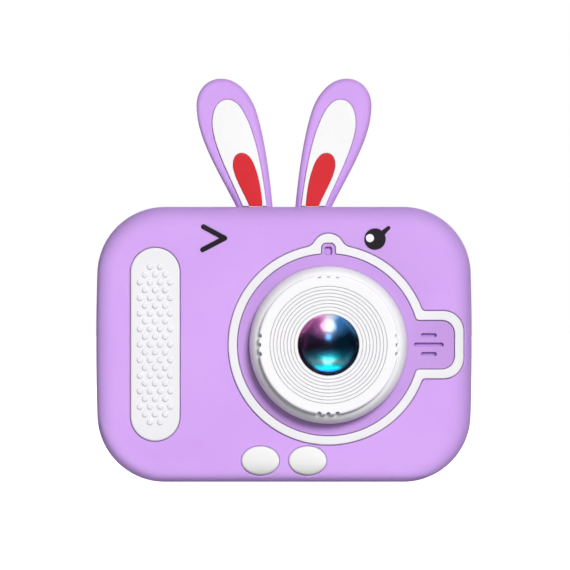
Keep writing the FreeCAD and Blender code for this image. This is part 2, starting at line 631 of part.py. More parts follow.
def screw(x, z, head_y, head_r, head_h, shank_r, tip_y):
    """A cross-head screw whose head faces the back."""
    head = rod(x, head_y, z, head_r, head_h)
    head = head.makeFillet(0.3, [e for e in edges_at(head, head_y + head_h) if e.Length > 1])
    shank = rod(x, tip_y, z, shank_r, head_y - tip_y)
    arm = head_r * 0.6
    top = head_y + head_h
    slot = [block(x - arm, x + arm, top - 0.5, top + 1, z - 0.2, z + 0.2)]
    slot.append(block(x - 0.2, x + 0.2, top - 0.5, top + 1, z - arm, z + arm))
    return union([head, shank]).cut(union(slot))


# ---- electronics ----------------------------------------------------------------------------
def main_board():
    board = rounded_plate(0, MID_Z, 89.0, 58.0, 9.0, BOARD_Y, BOARD_BACK)
    cuts = [rod(x, BOARD_Y - 1, z, 3.1, 4) for x, z in CASE_SCREWS]
    cuts += [rod(x, BOARD_Y - 1, z, 0.95, 4) for x, z in BOARD_SCREWS]
    half = STRAP_HALF + 1.8
    strap_x = -CASE_SIDE + STRAP_DEPTH + 1.6
    cuts.append(block(-60, strap_x, BOARD_Y - 1, BOARD_BACK + 1, MID_Z - half, MID_Z + half))
    return board.cut(Part.makeCompound(cuts))


def board_chips():
    """Processor and memory on the front of the board, with a crystal and a row of capacitors."""
    face = BOARD_Y
    chips = [block(-36, -26, face - 1.0, face, 30, 40), block(-36, -28, face - 0.9, face, 45, 51)]
    chips.append(block(-22, -19.5, face - 0.8, face, 33, 38))
    chips += [block(-36 + 3.0 * n, -34.4 + 3.0 * n, face - 0.6, face, 24.0, 24.9) for n in range(5)]
    return Part.makeCompound(chips)


def usb_socket():
    """A hollow metal socket for a charging plug, open to the right."""
    x1, y0 = CASE_SIDE - 0.6, BOARD_BACK
    shell = block(x1 - 7.3, x1, y0, y0 + 3.2, USB_Z - 4.5, USB_Z + 4.5)
    along = [e for e in shell.Edges if abs(e.Vertexes[0].X - e.Vertexes[1].X) > 1e-6]
    shell = shell.makeFillet(1.4, along)
    mouth = block(x1 - 6.5, x1 + 1, y0 + 0.3, y0 + 2.9, USB_Z - 4.2, USB_Z + 4.2)
    inner = [e for e in mouth.Edges if abs(e.Vertexes[0].X - e.Vertexes[1].X) > 1e-6]
    tongue = block(x1 - 6.6, x1 - 0.9, y0 + 1.25, y0 + 1.95, USB_Z - 3.3, USB_Z + 3.3)
    return shell.cut(mouth.makeFillet(1.1, inner)).fuse(tongue)


def card_socket():
    """A thin steel frame round the card, open to the right."""
    x0, x1, half = CASE_SIDE - 17.0, INNER_SIDE - 0.8, CARD[2] / 2
    case = block(x0, x1, BOARD_BACK, CARD_Y + CARD[1] + 0.5, CARD_Z - half - 1.6, CARD_Z + half + 1.6)
    thick = (CARD_Y - 0.1, CARD_Y + CARD[1] + 0.1)
    return case.cut(block(x0 + 0.8, x1 + 1, *thick, CARD_Z - half - 0.15, CARD_Z + half + 0.15))


def memory_card():
    """A small card with one cut corner and a raised thumb edge."""
    x1 = CASE_SIDE - 0.4
    x0, half = x1 - CARD[0], CARD[2] / 2
    card = block(x0, x1, CARD_Y, CARD_Y + CARD[1], CARD_Z - half, CARD_Z + half)
    top = CARD_Z + half
    corner = [(x0, top), (x0 + 5, top), (x0, top - 1.4)]
    wedge = prism([line(a, b) for a, b in zip(corner, corner[1:] + corner[:1])], CARD_Y - 1, CARD_Y + 3)
    return card.cut(wedge)


def electronics():
    made = {"main_board": main_board(), "board_chips": board_chips()}
    made["key_switches"] = switch_group()
    made["usb_socket"] = usb_socket()
    made["card_socket"] = card_socket()
    made["memory_card"] = memory_card()
    window_y = CASE_BACK - WINDOW_THICK
    window = (WINDOW_W, WINDOW_H, WINDOW_CORNER)
    made["screen_window"] = rounded_plate(SCREEN_X, LENS_Z, *window, window_y, CASE_BACK - 0.1)
    panel_back = window_y - 1.4
    made["display_panel"] = rounded_plate(SCREEN_X, LENS_Z, 46.0, 34.4, 0.6, panel_back - 2.4, panel_back)
    flex_z = LENS_Z - 17.2
    made["display_flex"] = union([
        block(SCREEN_X - 6, SCREEN_X + 6, panel_back - 1.2, panel_back - 1.0, flex_z - 3.0, flex_z),
        block(SCREEN_X - 6, SCREEN_X + 6, BOARD_BACK + 0.9, panel_back - 1.0, flex_z - 3.2, flex_z - 3.0),
        block(SCREEN_X - 6, SCREEN_X + 6, BOARD_BACK + 0.9, BOARD_BACK + 1.1, flex_z - 3.0, flex_z + 3.0),
    ])
    connector = (BOARD_BACK, BOARD_BACK + 0.85, flex_z - 1.0, flex_z + 2.6)
    made["flex_connector"] = block(SCREEN_X - 7, SCREEN_X + 7, *connector)
    made["battery"] = rounded_plate(-28.5, MID_Z, 29.0, 38.0, 2.0, INNER_FRONT + 0.3, INNER_FRONT + 5.5)
    made["battery_leads"] = Part.makeCompound([
        wire_tube([(-28.5 + s, INNER_FRONT + 3, MID_Z + 19), (-28.5 + s, INNER_FRONT + 3, MID_Z + 22.5),
                   (-28.5 + s, BOARD_Y - 3.4, MID_Z + 23.0), (-28.5 + s, BOARD_Y - 0.6, MID_Z + 21.0)], 0.5)
        for s in (-0.8, 0.8)
    ])
    made["speaker"] = union([
        rod(SPEAKER_AT[0], INNER_BACK - 3.0, SPEAKER_AT[1], SPEAKER_R, 2.95),
        rod(SPEAKER_AT[0], INNER_BACK - 4.2, SPEAKER_AT[1], 4.2, 1.4),
    ])
    made["microphone"] = rod(LENS_X, INNER_FRONT + FIT, LENS_Z + PANEL["bump_at"], 2.0, 1.5)
    made["charge_light"] = rod(LED_AT[0], BOARD_BACK + FIT, LED_AT[1], LED_R, CASE_BACK - 0.1 - BOARD_BACK)
    sx, sz = SELFIE_AT
    made["rear_camera"] = union([
        rounded_plate(sx, sz - 0.4, 7.0, 6.2, 0.5, BOARD_BACK + FIT, BOARD_BACK + 2.0),
        rod(sx, BOARD_BACK + 1.9, sz, 2.6, CASE_BACK - 1.4 - BOARD_BACK - 1.9),
    ])
    made["rear_camera_window"] = rod(sx, CASE_BACK - 1.1, sz, SELFIE_R, 1.0)
    up = V(0, 0, 1)
    switch_top = CASE_TOP - CASE_WALL - 2.55 - SHUTTER_CLICK - 0.1
    board_top = switch_top - 3.3
    made["shutter_switch"] = union([
        block(SHUTTER_X - 3, SHUTTER_X + 3, SHUTTER_Y - 3, SHUTTER_Y + 3, board_top, switch_top - 0.8),
        rod(SHUTTER_X, SHUTTER_Y, switch_top - 0.9, 1.4, 0.9, up),
    ])
    plan = (SHUTTER_X - 7, SHUTTER_X + 7, SHUTTER_Y - 4, SHUTTER_Y + 4)
    made["shutter_board"] = block(*plan, board_top - 1.05, board_top - FIT)
    return made


def fasteners():
    case = [screw(x, z, CASE_BACK - 5.95, 1.9, 1.3, 1.0, CASE_FRONT + 4) for x, z in CASE_SCREWS]
    board = [screw(x, z, BOARD_BACK + 0.02, 1.7, 1.0, 0.8, BOARD_Y - 5) for x, z in BOARD_SCREWS]
    return {"case_screws": Part.makeCompound(case), "board_screws": Part.makeCompound(board)}


# ---- the whole object -----------------------------------------------------------------------
def build():
    outside, cavity = case_shell()
    rounds = (FRONT_ROUND - JACKET_WALL, BACK_ROUND - JACKET_WALL)
    jacket_hole = soft_block(JACKET_WALL - FIT, CASE_FRONT - FIT, CASE_BACK + FIT, *rounds)
    ear, lining, accent = ears()
    pad = foot(0, -1.0 + FIT, 0.8)
    nodes = {
        "silicone_jacket": jacket(jacket_hole, ear),
        "left_ear_lining": lining,
        "right_ear_lining": mirrored(lining),
        "left_ear_accent": accent,
        "right_ear_accent": mirrored(accent),
        "left_foot": mirrored(pad),
        "right_foot": pad,
        "front_cover": front_cover(outside, cavity),
        "rear_cover": rear_cover(outside, cavity),
        "lens_surround": surround_ring(outside),
        "front_panel": front_panel(outside),
        "grip_pad": grip_pad(),
        "lens_barrel": lens_barrel(),
        "lens_bezel": lens_bezel(),
        "shutter_button": shutter_button(),
    }
    nodes.update(face_pieces())
    nodes.update(lens_stack())
    nodes.update({name: button_cap(*place) for name, place in BUTTONS.items()})
    nodes.update(electronics())
    nodes.update(fasteners())
    return nodes


os.makedirs("parts", exist_ok=True)
for name, shape in build().items():
    if not shape.isValid() or not shape.Solids:
        print("PROBLEM", name, shape.ShapeType, len(shape.Solids))
    shape.exportStep("parts/" + name + ".step")
print("parts written")
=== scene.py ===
import math

import bmesh
import bpy
import numpy as np
from mathutils import Matrix, Vector
from mathutils.geometry import delaunay_2d_cdt


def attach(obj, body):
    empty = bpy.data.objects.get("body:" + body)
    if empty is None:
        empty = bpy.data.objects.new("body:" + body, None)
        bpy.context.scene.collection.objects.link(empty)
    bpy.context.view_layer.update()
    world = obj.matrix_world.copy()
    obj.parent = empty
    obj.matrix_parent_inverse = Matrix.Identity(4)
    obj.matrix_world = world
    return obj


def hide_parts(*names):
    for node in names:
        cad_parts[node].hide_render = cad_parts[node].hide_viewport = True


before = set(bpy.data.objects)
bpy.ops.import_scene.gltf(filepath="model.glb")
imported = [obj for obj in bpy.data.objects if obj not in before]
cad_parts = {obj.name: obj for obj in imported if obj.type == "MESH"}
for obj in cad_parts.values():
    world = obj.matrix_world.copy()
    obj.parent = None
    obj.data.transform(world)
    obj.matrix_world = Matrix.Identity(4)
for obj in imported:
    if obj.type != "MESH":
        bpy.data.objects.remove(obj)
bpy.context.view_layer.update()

# ---- Hard case ------------------------------------------------------------------------------
# Two shells of white ABS, injection moulded and screwed together from behind.
# The jacket hides them except at its windows and across the back.


def linear(code):
    """An sRGB hex colour as the linear numbers that a shader wants."""
    shares = [int(code[i:i + 2], 16) / 255 for i in (1, 3, 5)]
    return [c / 12.92 if c <= 0.04045 else ((c + 0.055) / 1.055) ** 2.4 for c in shares] + [1.0]


def add(material, kind, settings=None, links=None, stops=()):
    """Adds a node with its settings (socket values or options), its links and its colour stops."""
    made = material.node_tree.nodes.new(kind)
    for name, value in (settings or {}).items():
        if isinstance(name, int) or name in made.inputs:
            made.inputs[name].default_value = value
        else:
            setattr(made, name, value)
    for name, source in (links or {}).items():
        output = source if isinstance(source, bpy.types.NodeSocket) else source.outputs[0]
        material.node_tree.links.new(output, made.inputs[name])
    for n, (position, code) in enumerate([*stops[:1], *stops[-1:], *stops[1:-1]]):
        stop = made.color_ramp.elements[n] if n < 2 else made.color_ramp.elements.new(position)
        stop.position, stop.color = position, linear(code)
    return made


def blank(name):
    """An empty node material with its output."""
    material = bpy.data.materials.new(name)
    material.use_nodes = True
    material.node_tree.nodes.clear()
    return material


def per_mm(size):
    """The texture scale that makes a pattern repeat about every so many millimetres."""
    return 1000.0 / size


def uneven_gloss(material, place, size, detail, low, high):
    """Roughness that drifts from low to high and back in patches of about so many millimetres."""
    patches = add(material, "ShaderNodeTexNoise", {"Scale": per_mm(size), "Detail": detail},
                  {"Vector": place})
    return add(material, "ShaderNodeMapRange", {"To Min": low, "To Max": high},
               {"Value": patches.outputs["Fac"]})


def moulded_abs(name, pale, deep, crease_shade, roughness=0.3, grain=0.35, depth=0.006, rubbed=False):
    """Injection-moulded ABS: even gloss, faint flow clouds, fine tool grain, painted shade darkening the
    creases.
    """
    m = blank(name)
    place = add(m, "ShaderNodeTexCoord").outputs["Object"]
    clouds = add(m, "ShaderNodeTexNoise", {"Scale": per_mm(18), "Detail": 3.0}, {"Vector": place})
    tone = add(m, "ShaderNodeValToRGB", links={"Fac": clouds.outputs["Fac"]},
               stops=[(0.35, deep), (0.65, pale)])
    # Painted shade: where ambient occlusion finds a crease or gap, the colour is darkened towards the
    # crease-shade tone.
    nook = add(m, "ShaderNodeAmbientOcclusion", {"samples": 6, "Distance": 0.0006})
    crease = add(m, "ShaderNodeMapRange", {"From Min": 0.8, "From Max": 0.35, "To Max": 0.85},
                 {"Value": nook.outputs["AO"]})
    coat = add(m, "ShaderNodeMixRGB", {"Color2": linear(crease_shade)}, {"Fac": crease, "Color1": tone})
    # Tool grain is about 0.1 mm on the real mould; it is drawn coarser so that it shows.
    grit = add(m, "ShaderNodeTexNoise", {"Scale": per_mm(grain), "Detail": 2.0}, {"Vector": place})
    bump = add(m, "ShaderNodeBump", {"Strength": 0.25, "Distance": depth * 0.001},
               {"Height": grit.outputs["Fac"]})
    if rubbed:
        # Fingers polish the edges paler.
        soft = add(m, "ShaderNodeBevel", {"samples": 4, "Radius": 0.0003})
        true = add(m, "ShaderNodeNewGeometry").outputs["True Normal"]
        bent = add(m, "ShaderNodeVectorMath", {"operation": "DOT_PRODUCT"}, {0: soft, 1: true})
        share = add(m, "ShaderNodeMapRange", {"From Min": 0.98, "From Max": 0.8, "To Max": 0.3},
                    {"Value": bent.outputs["Value"]})
        coat = add(m, "ShaderNodeMixRGB", {"Color2": linear("#ffffff")}, {"Fac": share, "Color1": coat})
    gloss = uneven_gloss(m, place, 7, 4.0, roughness - 0.05, roughness + 0.07)
    skin = add(m, "ShaderNodeBsdfPrincipled", {"IOR": 1.53},
               {"Base Color": coat, "Roughness": gloss, "Normal": bump})
    add(m, "ShaderNodeOutputMaterial", links={"Surface": skin})
    return m


def dress(material, *names):
    """Gives CAD nodes their finish."""
    for name in names:
        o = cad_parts[name]
        o.data.materials.clear()
        o.data.materials.append(material)


# The third colour is the painted shade in the creases.
white_abs = moulded_abs("white_abs_polished_mould", "#fdfcfd", "#faf9fb", "#b4b1b7", 0.27)
dress(white_abs, "front_cover", "rear_cover")

# ---- Boards, battery and sockets ------------------------------------------------------------
# Fibreglass boards with green solder mask, epoxy chips, stamped steel cans and sockets,
# a foil battery and PVC leads. They are sealed in the case; the sockets show at the side.


def plain_finish(name, pale, deep, metallic=0.0, roughness=0.4, grain=1.0, stretch=(1, 1, 1), depth=0.01,
                 sheen=0.5):
    """A base finish with two tones, mottled roughness and a bump whose grain can be drawn out one way."""
    m = blank(name)
    place = add(m, "ShaderNodeTexCoord").outputs["Object"]
    drawn = add(m, "ShaderNodeMapping", {"Scale": stretch}, {"Vector": place})
    grit = add(m, "ShaderNodeTexNoise", {"Scale": per_mm(grain), "Detail": 4.0}, {"Vector": drawn})
    tone = add(m, "ShaderNodeMixRGB", {"Color1": linear(deep), "Color2": linear(pale)},
               {"Fac": grit.outputs["Fac"]})
    gloss = add(m, "ShaderNodeMapRange", {"To Min": roughness * 0.8, "To Max": roughness * 1.25},
                {"Value": grit.outputs["Fac"]})
    bump = add(m, "ShaderNodeBump", {"Strength": 0.3, "Distance": depth * 0.001},
               {"Height": grit.outputs["Fac"]})
    skin = add(m, "ShaderNodeBsdfPrincipled", {"Metallic": metallic, "Specular IOR Level": sheen},
               {"Base Color": tone, "Roughness": gloss, "Normal": bump})
    add(m, "ShaderNodeOutputMaterial", links={"Surface": skin})
    return m


dress(plain_finish("fibreglass_green_solder_mask", "#2b7a4d", "#1c5637", 0, 0.3, 2.0),
      "main_board", "sensor_board", "shutter_board")
dress(plain_finish("epoxy_chip_moulded", "#2b2c30", "#1c1d20", 0, 0.5, 0.4),
      "board_chips", "flex_connector", "speaker")
dress(plain_finish("nickel_steel_stamped", "#c9cbcd", "#aeb1b4", 1, 0.28, 0.5, (1, 6, 1)),
      "usb_socket", "card_socket", "key_switches", "shutter_switch", "microphone")
dress(plain_finish("zinc_steel_turned", "#a9acb0", "#84878b", 1, 0.35, 0.4), "case_screws", "board_screws")
dress(plain_finish("foil_pouch_laminated", "#d4d6d9", "#b9bcc0", 1, 0.35, 3.0), "battery")
dress(plain_finish("pvc_lead_extruded", "#c8323a", "#a3262d", 0, 0.4, 1.0), "battery_leads")
dress(plain_finish("polyimide_film_amber", "#c98a35", "#a86f22", 0, 0.3, 2.0), "display_flex")
dress(plain_finish("silicon_die_coated", "#39424f", "#242a34", 0, 0.12, 1.0),
      "image_sensor", "display_panel")

# ---- Memory card ----------------------------------------------------------------------------
# A small epoxy card with a matt face. It slides out of its steel socket at the right side,
# where friction holds it.

dress(plain_finish("epoxy_card_matt", "#26272b", "#17181b", 0, 0.42, 0.5), "memory_card")

# ---- Lens barrel and front ring -------------------------------------------------------------
# White ABS tube with a full round shoulder, turned finely so that its sheen runs smoothly. Its
# front ring is a separate part, polished by its mould, with eight fine grooves and twelve notches.

LENS_X, LENS_Z = 11.8, 36.5


class Shell:
    """Collects faces in millimetres and turns them into one closed mesh."""

    def __init__(self):
        self.points, self.faces = [], []

    def put(self, points):
        """Stores points and gives back their numbers."""
        start = len(self.points)
        self.points += [tuple(p) for p in points]
        return list(range(start, start + len(points)))

    def between(self, loops, closed=True):
        """Quads between one loop of points and the next."""
        rows = [self.put(loop) for loop in loops]
        for a, b in zip(rows, rows[1:]):
            for i in range(len(a) if closed else len(a) - 1):
                j = (i + 1) % len(a)
                self.faces.append((a[i], a[j], b[j], b[i]))

    def lid(self, loop):
        """Closes a loop with triangles about its middle."""
        ring = self.put(loop)
        middle = self.put([np.mean(np.array(loop), axis=0)])[0]
        self.faces += [(ring[i], ring[(i + 1) % len(ring)], middle) for i in range(len(ring))]

    def pattern(self, border, guides, openings, extra, bend):
        """Triangles between a border and its openings in a flat pattern, bent into place."""
        corners, sides = [], []
        for loop in [border, *guides, *openings]:
            start = len(corners)
            corners += [Vector(p) for p in loop]
            sides += [(start + i, start + (i + 1) % len(loop)) for i in range(len(loop))]
        corners += [Vector(p) for p in extra]
        made = delaunay_2d_cdt(corners, sides, [], 0, 1e-6)
        flat = np.array([tuple(v) for v in made[0]])
        triples = np.array([tuple(f) for f in made[2]])
        middles = flat[triples].mean(axis=1)
        keep = inside(border, middles)
        for opening in openings:
            keep &= ~inside(opening, middles)
        ids = self.put(bend(flat))
        self.faces += [tuple(ids[i] for i in t) for t in triples[keep]]

    def piece(self, name, material, body="camera", slot=None, nodes=()):
        """Makes the object: metres, merged seams, outward faces, smooth shading."""
        mesh = bpy.data.meshes.new(name)
        mesh.from_pydata([tuple(c * 0.001 for c in p) for p in self.points], [], self.faces)
        bm = bmesh.new()
        bm.from_mesh(mesh)
        bmesh.ops.remove_doubles(bm, verts=bm.verts, dist=2e-6)
        bmesh.ops.delete(bm, geom=[v for v in bm.verts if not v.link_faces], context="VERTS")
        bmesh.ops.dissolve_degenerate(bm, edges=bm.edges, dist=1e-7)
        bmesh.ops.recalc_face_normals(bm, faces=bm.faces)
        for face in bm.faces:
            face.smooth = True
        for edge in bm.edges:
            if len(edge.link_faces) == 2 and edge.calc_face_angle() > math.radians(50):
                edge.smooth = False
        bm.to_mesh(mesh)
        bm.free()
        made = bpy.data.objects.new(name, mesh)
        bpy.context.scene.collection.objects.link(made)
        made.data.materials.append(material)
        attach(made, body)
        if nodes:
            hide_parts(*nodes)
        return made


def turned(profile, count=128):
    """A shell turned about the lens's axis from (radius, y) steps; an end on the axis is closed by a fan."""
    made = Shell()
    turn = np.linspace(0, 2 * math.pi, count, endpoint=False)
    loops = [[(LENS_X + r * math.cos(t), y, LENS_Z + r * math.sin(t)) for t in turn] for r, y in profile]
    if profile[0][0] < 0.5:
        made.between(loops)
        made.lid(loops[0])
        made.lid(loops[-1])
    else:
        made.between(loops + loops[:1])
    return made


TUBE_R, TUBE_BORE, TUBE_BASE, TUBE_FRONT = 21.0, 11.5, -8.45, -16.2
SEAT_R, SEAT_Y = 18.1, -15.2
ROUND_ACROSS, ROUND_ALONG = 2.3, 4.6
shoulder = [(TUBE_R - ROUND_ACROSS * (1 - math.sin(math.radians(a))),
             TUBE_FRONT + ROUND_ALONG * (1 - math.cos(math.radians(a)))) for a in range(82, -1, -8)]
tube = turned([(TUBE_R, TUBE_BASE), (TUBE_R, TUBE_FRONT + ROUND_ALONG), *shoulder, (SEAT_R, TUBE_FRONT),
               (SEAT_R, SEAT_Y), (TUBE_BORE, SEAT_Y), (TUBE_BORE, TUBE_BASE)])
# A greyer, less glossy copy of the white ABS for the tube, the surround and the grip pad; its greyer tone is
# painted shade, and its third colour is the painted shade in the creases.
shaded_white_abs = moulded_abs("white_abs_satin_shaded", "#f2f1f4", "#eeedf0", "#b4b1b7", 0.34)
tube.piece("lens_barrel_tube", shaded_white_abs, slot="white_abs", nodes=["lens_barrel"])
dress(white_abs, "lens_bezel")

# ---- Lens glass -----------------------------------------------------------------------------
# A clear domed glass over a black holder. The hollow-faced element behind it is a mirror whose tint is
# painted reflection, blue above, cyan below and dark in the middle; the dome's lamp reflections get a
# painted pink and sky-blue tint.

# The holder round the glass is blackened with a dead matt paint that hardly throws a lamp back.
dress(plain_finish("black_optical_paint", "#0b080f", "#050307", 0, 0.6, 0.4, sheen=0.05), "lens_holder")
dress(plain_finish("black_abs_matt", "#141216", "#0a080c", 0, 0.5, 0.4), "aperture_stop", "rear_camera")


def clear_glass(name, tint, roughness=0.0):
    """Clear glass or acrylic with a trace of dust."""
    m = blank(name)
    place = add(m, "ShaderNodeTexCoord").outputs["Object"]
    dull = uneven_gloss(m, place, 3, 5.0, roughness, roughness + 0.02)
    skin = add(m, "ShaderNodeBsdfPrincipled",
               {"Base Color": linear(tint), "Transmission Weight": 1.0, "IOR": 1.5}, {"Roughness": dull})
    add(m, "ShaderNodeOutputMaterial", links={"Surface": skin})
    return m


def tinted_reflection_glass(name):
    """Glass with a hazy film whose reflections of the lamps are tinted by a colour painted across it, pink
    on one side and blue on the other.
    """
    m = blank(name)
    place = add(m, "ShaderNodeTexCoord").outputs["Object"]
    parts = add(m, "ShaderNodeSeparateXYZ", links={"Vector": place})
    # Painted reflection colour: the lamps' reflections are real, and their pink-to-blue tint is painted from
    # left to right.
    across = add(m, "ShaderNodeMapRange",
                 {"From Min": (LENS_X - 5.0) * 0.001, "From Max": (LENS_X + 5.0) * 0.001},
                 {"Value": parts.outputs["X"]})
    painted_reflection_tint = add(m, "ShaderNodeValToRGB", links={"Fac": across},
               stops=[(0.25, "#ff8be4"), (0.44, "#ffd8f8"), (0.56, "#e8f4ff"), (0.75, "#5fb0ff")])
    haze = uneven_gloss(m, place, 3, 5.0, 0.15, 0.18)
    thrown = add(m, "ShaderNodeBsdfAnisotropic", links={"Color": painted_reflection_tint, "Roughness": haze})
    through = add(m, "ShaderNodeBsdfRefraction", {"Color": linear("#ffffff"), "Roughness": 0.0, "IOR": 1.5})
    # Only the outside is filmed; light already in the glass leaves it without a second reflection.
    outside = add(m, "ShaderNodeMath", {"operation": "SUBTRACT", 0: 1.0},
                  {1: add(m, "ShaderNodeNewGeometry").outputs["Backfacing"]})
    share = add(m, "ShaderNodeMath", {"operation": "MULTIPLY"},
                {0: add(m, "ShaderNodeFresnel", {"IOR": 1.5}), 1: outside})
    both = add(m, "ShaderNodeMixShader", {}, {"Fac": share, 1: through, 2: thrown})
    add(m, "ShaderNodeOutputMaterial", links={"Surface": both})
    return m


ELEMENT_R = 6.6


def painted_reflection_element(name):
    """A hollow-faced lens with a mirror finish whose tint is painted reflection: blue above, teal, dark in
    the middle, cyan below.
    """
    m = blank(name)
    place = add(m, "ShaderNodeTexCoord").outputs["Object"]
    parts = add(m, "ShaderNodeSeparateXYZ", links={"Vector": place})
    up = add(m, "ShaderNodeMapRange",
             {"From Min": (LENS_Z - ELEMENT_R) * 0.001, "From Max": (LENS_Z + ELEMENT_R) * 0.001},
             {"Value": parts.outputs["Z"]})
    # Painted reflection: the mirror's tint is painted by height, with a paler band low down where a lamp's
    # reflection shows.
    tone = add(m, "ShaderNodeValToRGB", links={"Fac": up},
               stops=[(0.0, "#0c1c5e"), (0.05, "#053c66"), (0.09, "#00484c"), (0.14, "#004448"),
                      (0.2, "#2a4042"), (0.29, "#043c42"), (0.42, "#033238"), (0.55, "#02222c"),
                      (0.68, "#06263c"), (0.88, "#0e2448"), (1.0, "#241c40")])
    axis = add(m, "ShaderNodeCombineXYZ", {"X": LENS_X * 0.001, "Z": LENS_Z * 0.001},
               {"Y": parts.outputs["Y"]})
    off = add(m, "ShaderNodeVectorMath", {"operation": "DISTANCE"}, {0: place, 1: axis})
    # Painted shade: a dark spot in the middle and a dark ring at the rim.
    dark_centre = add(m, "ShaderNodeMapRange", {"From Min": 0.0032, "From Max": 0.0011},
                {"Value": off.outputs["Value"]})
    rim = add(m, "ShaderNodeMapRange", {"From Min": 0.0058, "From Max": 0.0067},
              {"Value": off.outputs["Value"]})
    toned = add(m, "ShaderNodeMixRGB", {"Color2": linear("#060103")}, {"Fac": dark_centre, "Color1": tone})
    edged = add(m, "ShaderNodeMixRGB", {"Color2": linear("#060a2c")}, {"Fac": rim, "Color1": toned})
    # Painted reflection: the tint darkens away to both sides, so the lamps' coloured reflections gather on
    # the middle line.
    aside = add(m, "ShaderNodeMath", {"operation": "SUBTRACT", 1: LENS_X * 0.001}, {0: parts.outputs["X"]})
    far = add(m, "ShaderNodeMath", {"operation": "ABSOLUTE"}, {0: aside})
    sides_dark = add(m, "ShaderNodeMapRange", {"From Min": 0.0018, "From Max": 0.0052, "To Max": 0.9},
               {"Value": far})
    edged = add(m, "ShaderNodeMixRGB", {"Color2": linear("#051018")}, {"Fac": sides_dark, "Color1": edged})
    skin = add(m, "ShaderNodeBsdfPrincipled", {"Metallic": 1.0, "Roughness": 0.26}, {"Base Color": edged})
    add(m, "ShaderNodeOutputMaterial", links={"Surface": skin})
    return m


def bow(radius, rise, edge_y):
    """The steps of a bowed face from its middle to its rim; the middle stands forward by the rise."""
    ball = (radius ** 2 + rise ** 2) / (2 * abs(rise))
    steps = np.linspace(0.2, radius, 26)
    heights = np.sqrt(ball ** 2 - steps ** 2) - (ball - abs(rise))
    return [(r, edge_y - math.copysign(height, rise)) for r, height in zip(steps, heights)]


GLASS_R, DOME_EDGE, DOME_BACK = 8.1, -18.6, -17.5
dome = turned([*bow(GLASS_R, 1.9, DOME_EDGE), (GLASS_R, DOME_BACK), (4.0, DOME_BACK), (0.2, DOME_BACK)])
glass_dome = dome.piece("front_glass_dome", tinted_reflection_glass("optical_glass_painted_pink_blue_reflections"),
                        slot="clear_glass", nodes=["front_glass"])
ELEMENT_EDGE, ELEMENT_BACK = -14.7, -10.75
hollow = turned([*bow(ELEMENT_R, -1.65, ELEMENT_EDGE), (ELEMENT_R, ELEMENT_BACK), (3.0, ELEMENT_BACK),
                 (0.2, ELEMENT_BACK)])
hollow_element = hollow.piece("front_element_hollow", painted_reflection_element("optical_glass_painted_reflections"),
                              slot="lens_resin", nodes=["front_lens_element"])
dress(clear_glass("optical_resin_polished", "#c8d8ff"), "rear_lens_element", "infrared_filter",
      "charge_light")

# ---- Surround -------------------------------------------------------------------------------
# White ABS outline with a bump above and a tab to the right. It stands half a millimetre out
# of the jacket and follows the jacket's rounded edge at the end of the tab.

JACKET_W, JACKET_H = 100.0, 73.2
MID_Z = JACKET_H / 2
CORNER_R, SIDE_R = 18.0, 600.0
FRONT_Y, BACK_Y = -9.5, 20.5
FRONT_ROUND, BACK_ROUND = 5.5, 4.5
PROUD = 0.5
GAP = 0.1


def arc(x, z, radius, start, end, step=0.45):
    """Points along an arc in (x, z), without its last one."""
    count = max(4, math.ceil(math.radians(abs(end - start)) * radius / step))
    turn = np.radians(np.linspace(start, end, count + 1)[:-1])
    return np.stack([x + radius * np.cos(turn), z + radius * np.sin(turn)], 1)


def run(a, b, step=1.2):
    """Points along a straight run, without its last one."""
    count = max(1, math.ceil(math.dist(a, b) / step))
    share = np.linspace(0, 1, count + 1)[:-1, None]
    return np.array(a) * (1 - share) + np.array(b) * share


def grown(loop, by):
    """An anticlockwise loop moved outwards by so much, or inwards if negative."""
    ahead, behind = np.roll(loop, -1, 0) - loop, loop - np.roll(loop, 1, 0)
    ahead /= np.linalg.norm(ahead, axis=1, keepdims=True)
    behind /= np.linalg.norm(behind, axis=1, keepdims=True)
    along = ahead + behind
    along /= np.linalg.norm(along, axis=1, keepdims=True)
    return loop + by * np.stack([along[:, 1], -along[:, 0]], 1)


def inside(loop, points):
    """Which points lie within a loop."""
    x, z = points[:, 0:1], points[:, 1:2]
    a, b = loop, np.roll(loop, -1, 0)
    crosses = (a[:, 1] > z) != (b[:, 1] > z)
    rise = np.where(b[:, 1] == a[:, 1], 1e-12, b[:, 1] - a[:, 1])
    at = a[:, 0] + (z - a[:, 1]) * (b[:, 0] - a[:, 0]) / rise
    return (crosses & (x < at)).sum(axis=1) % 2 == 1


def reach(loop, points, closed=True):
    """How far each point is from a loop's nearest side."""
    a, b = loop, np.roll(loop, -1, 0)
    if not closed:
        a, b = a[:-1], b[:-1]
    side = b - a
    best = np.full(len(points), 1e9)
    for start in range(0, len(points), 500):
        p = points[start:start + 500, None, :]
        t = np.clip(((p - a) * side).sum(2) / (side**2).sum(1), 0, 1)[..., None]
        best[start:start + 500] = np.linalg.norm(p - a - t * side, axis=2).min(1)
    return best


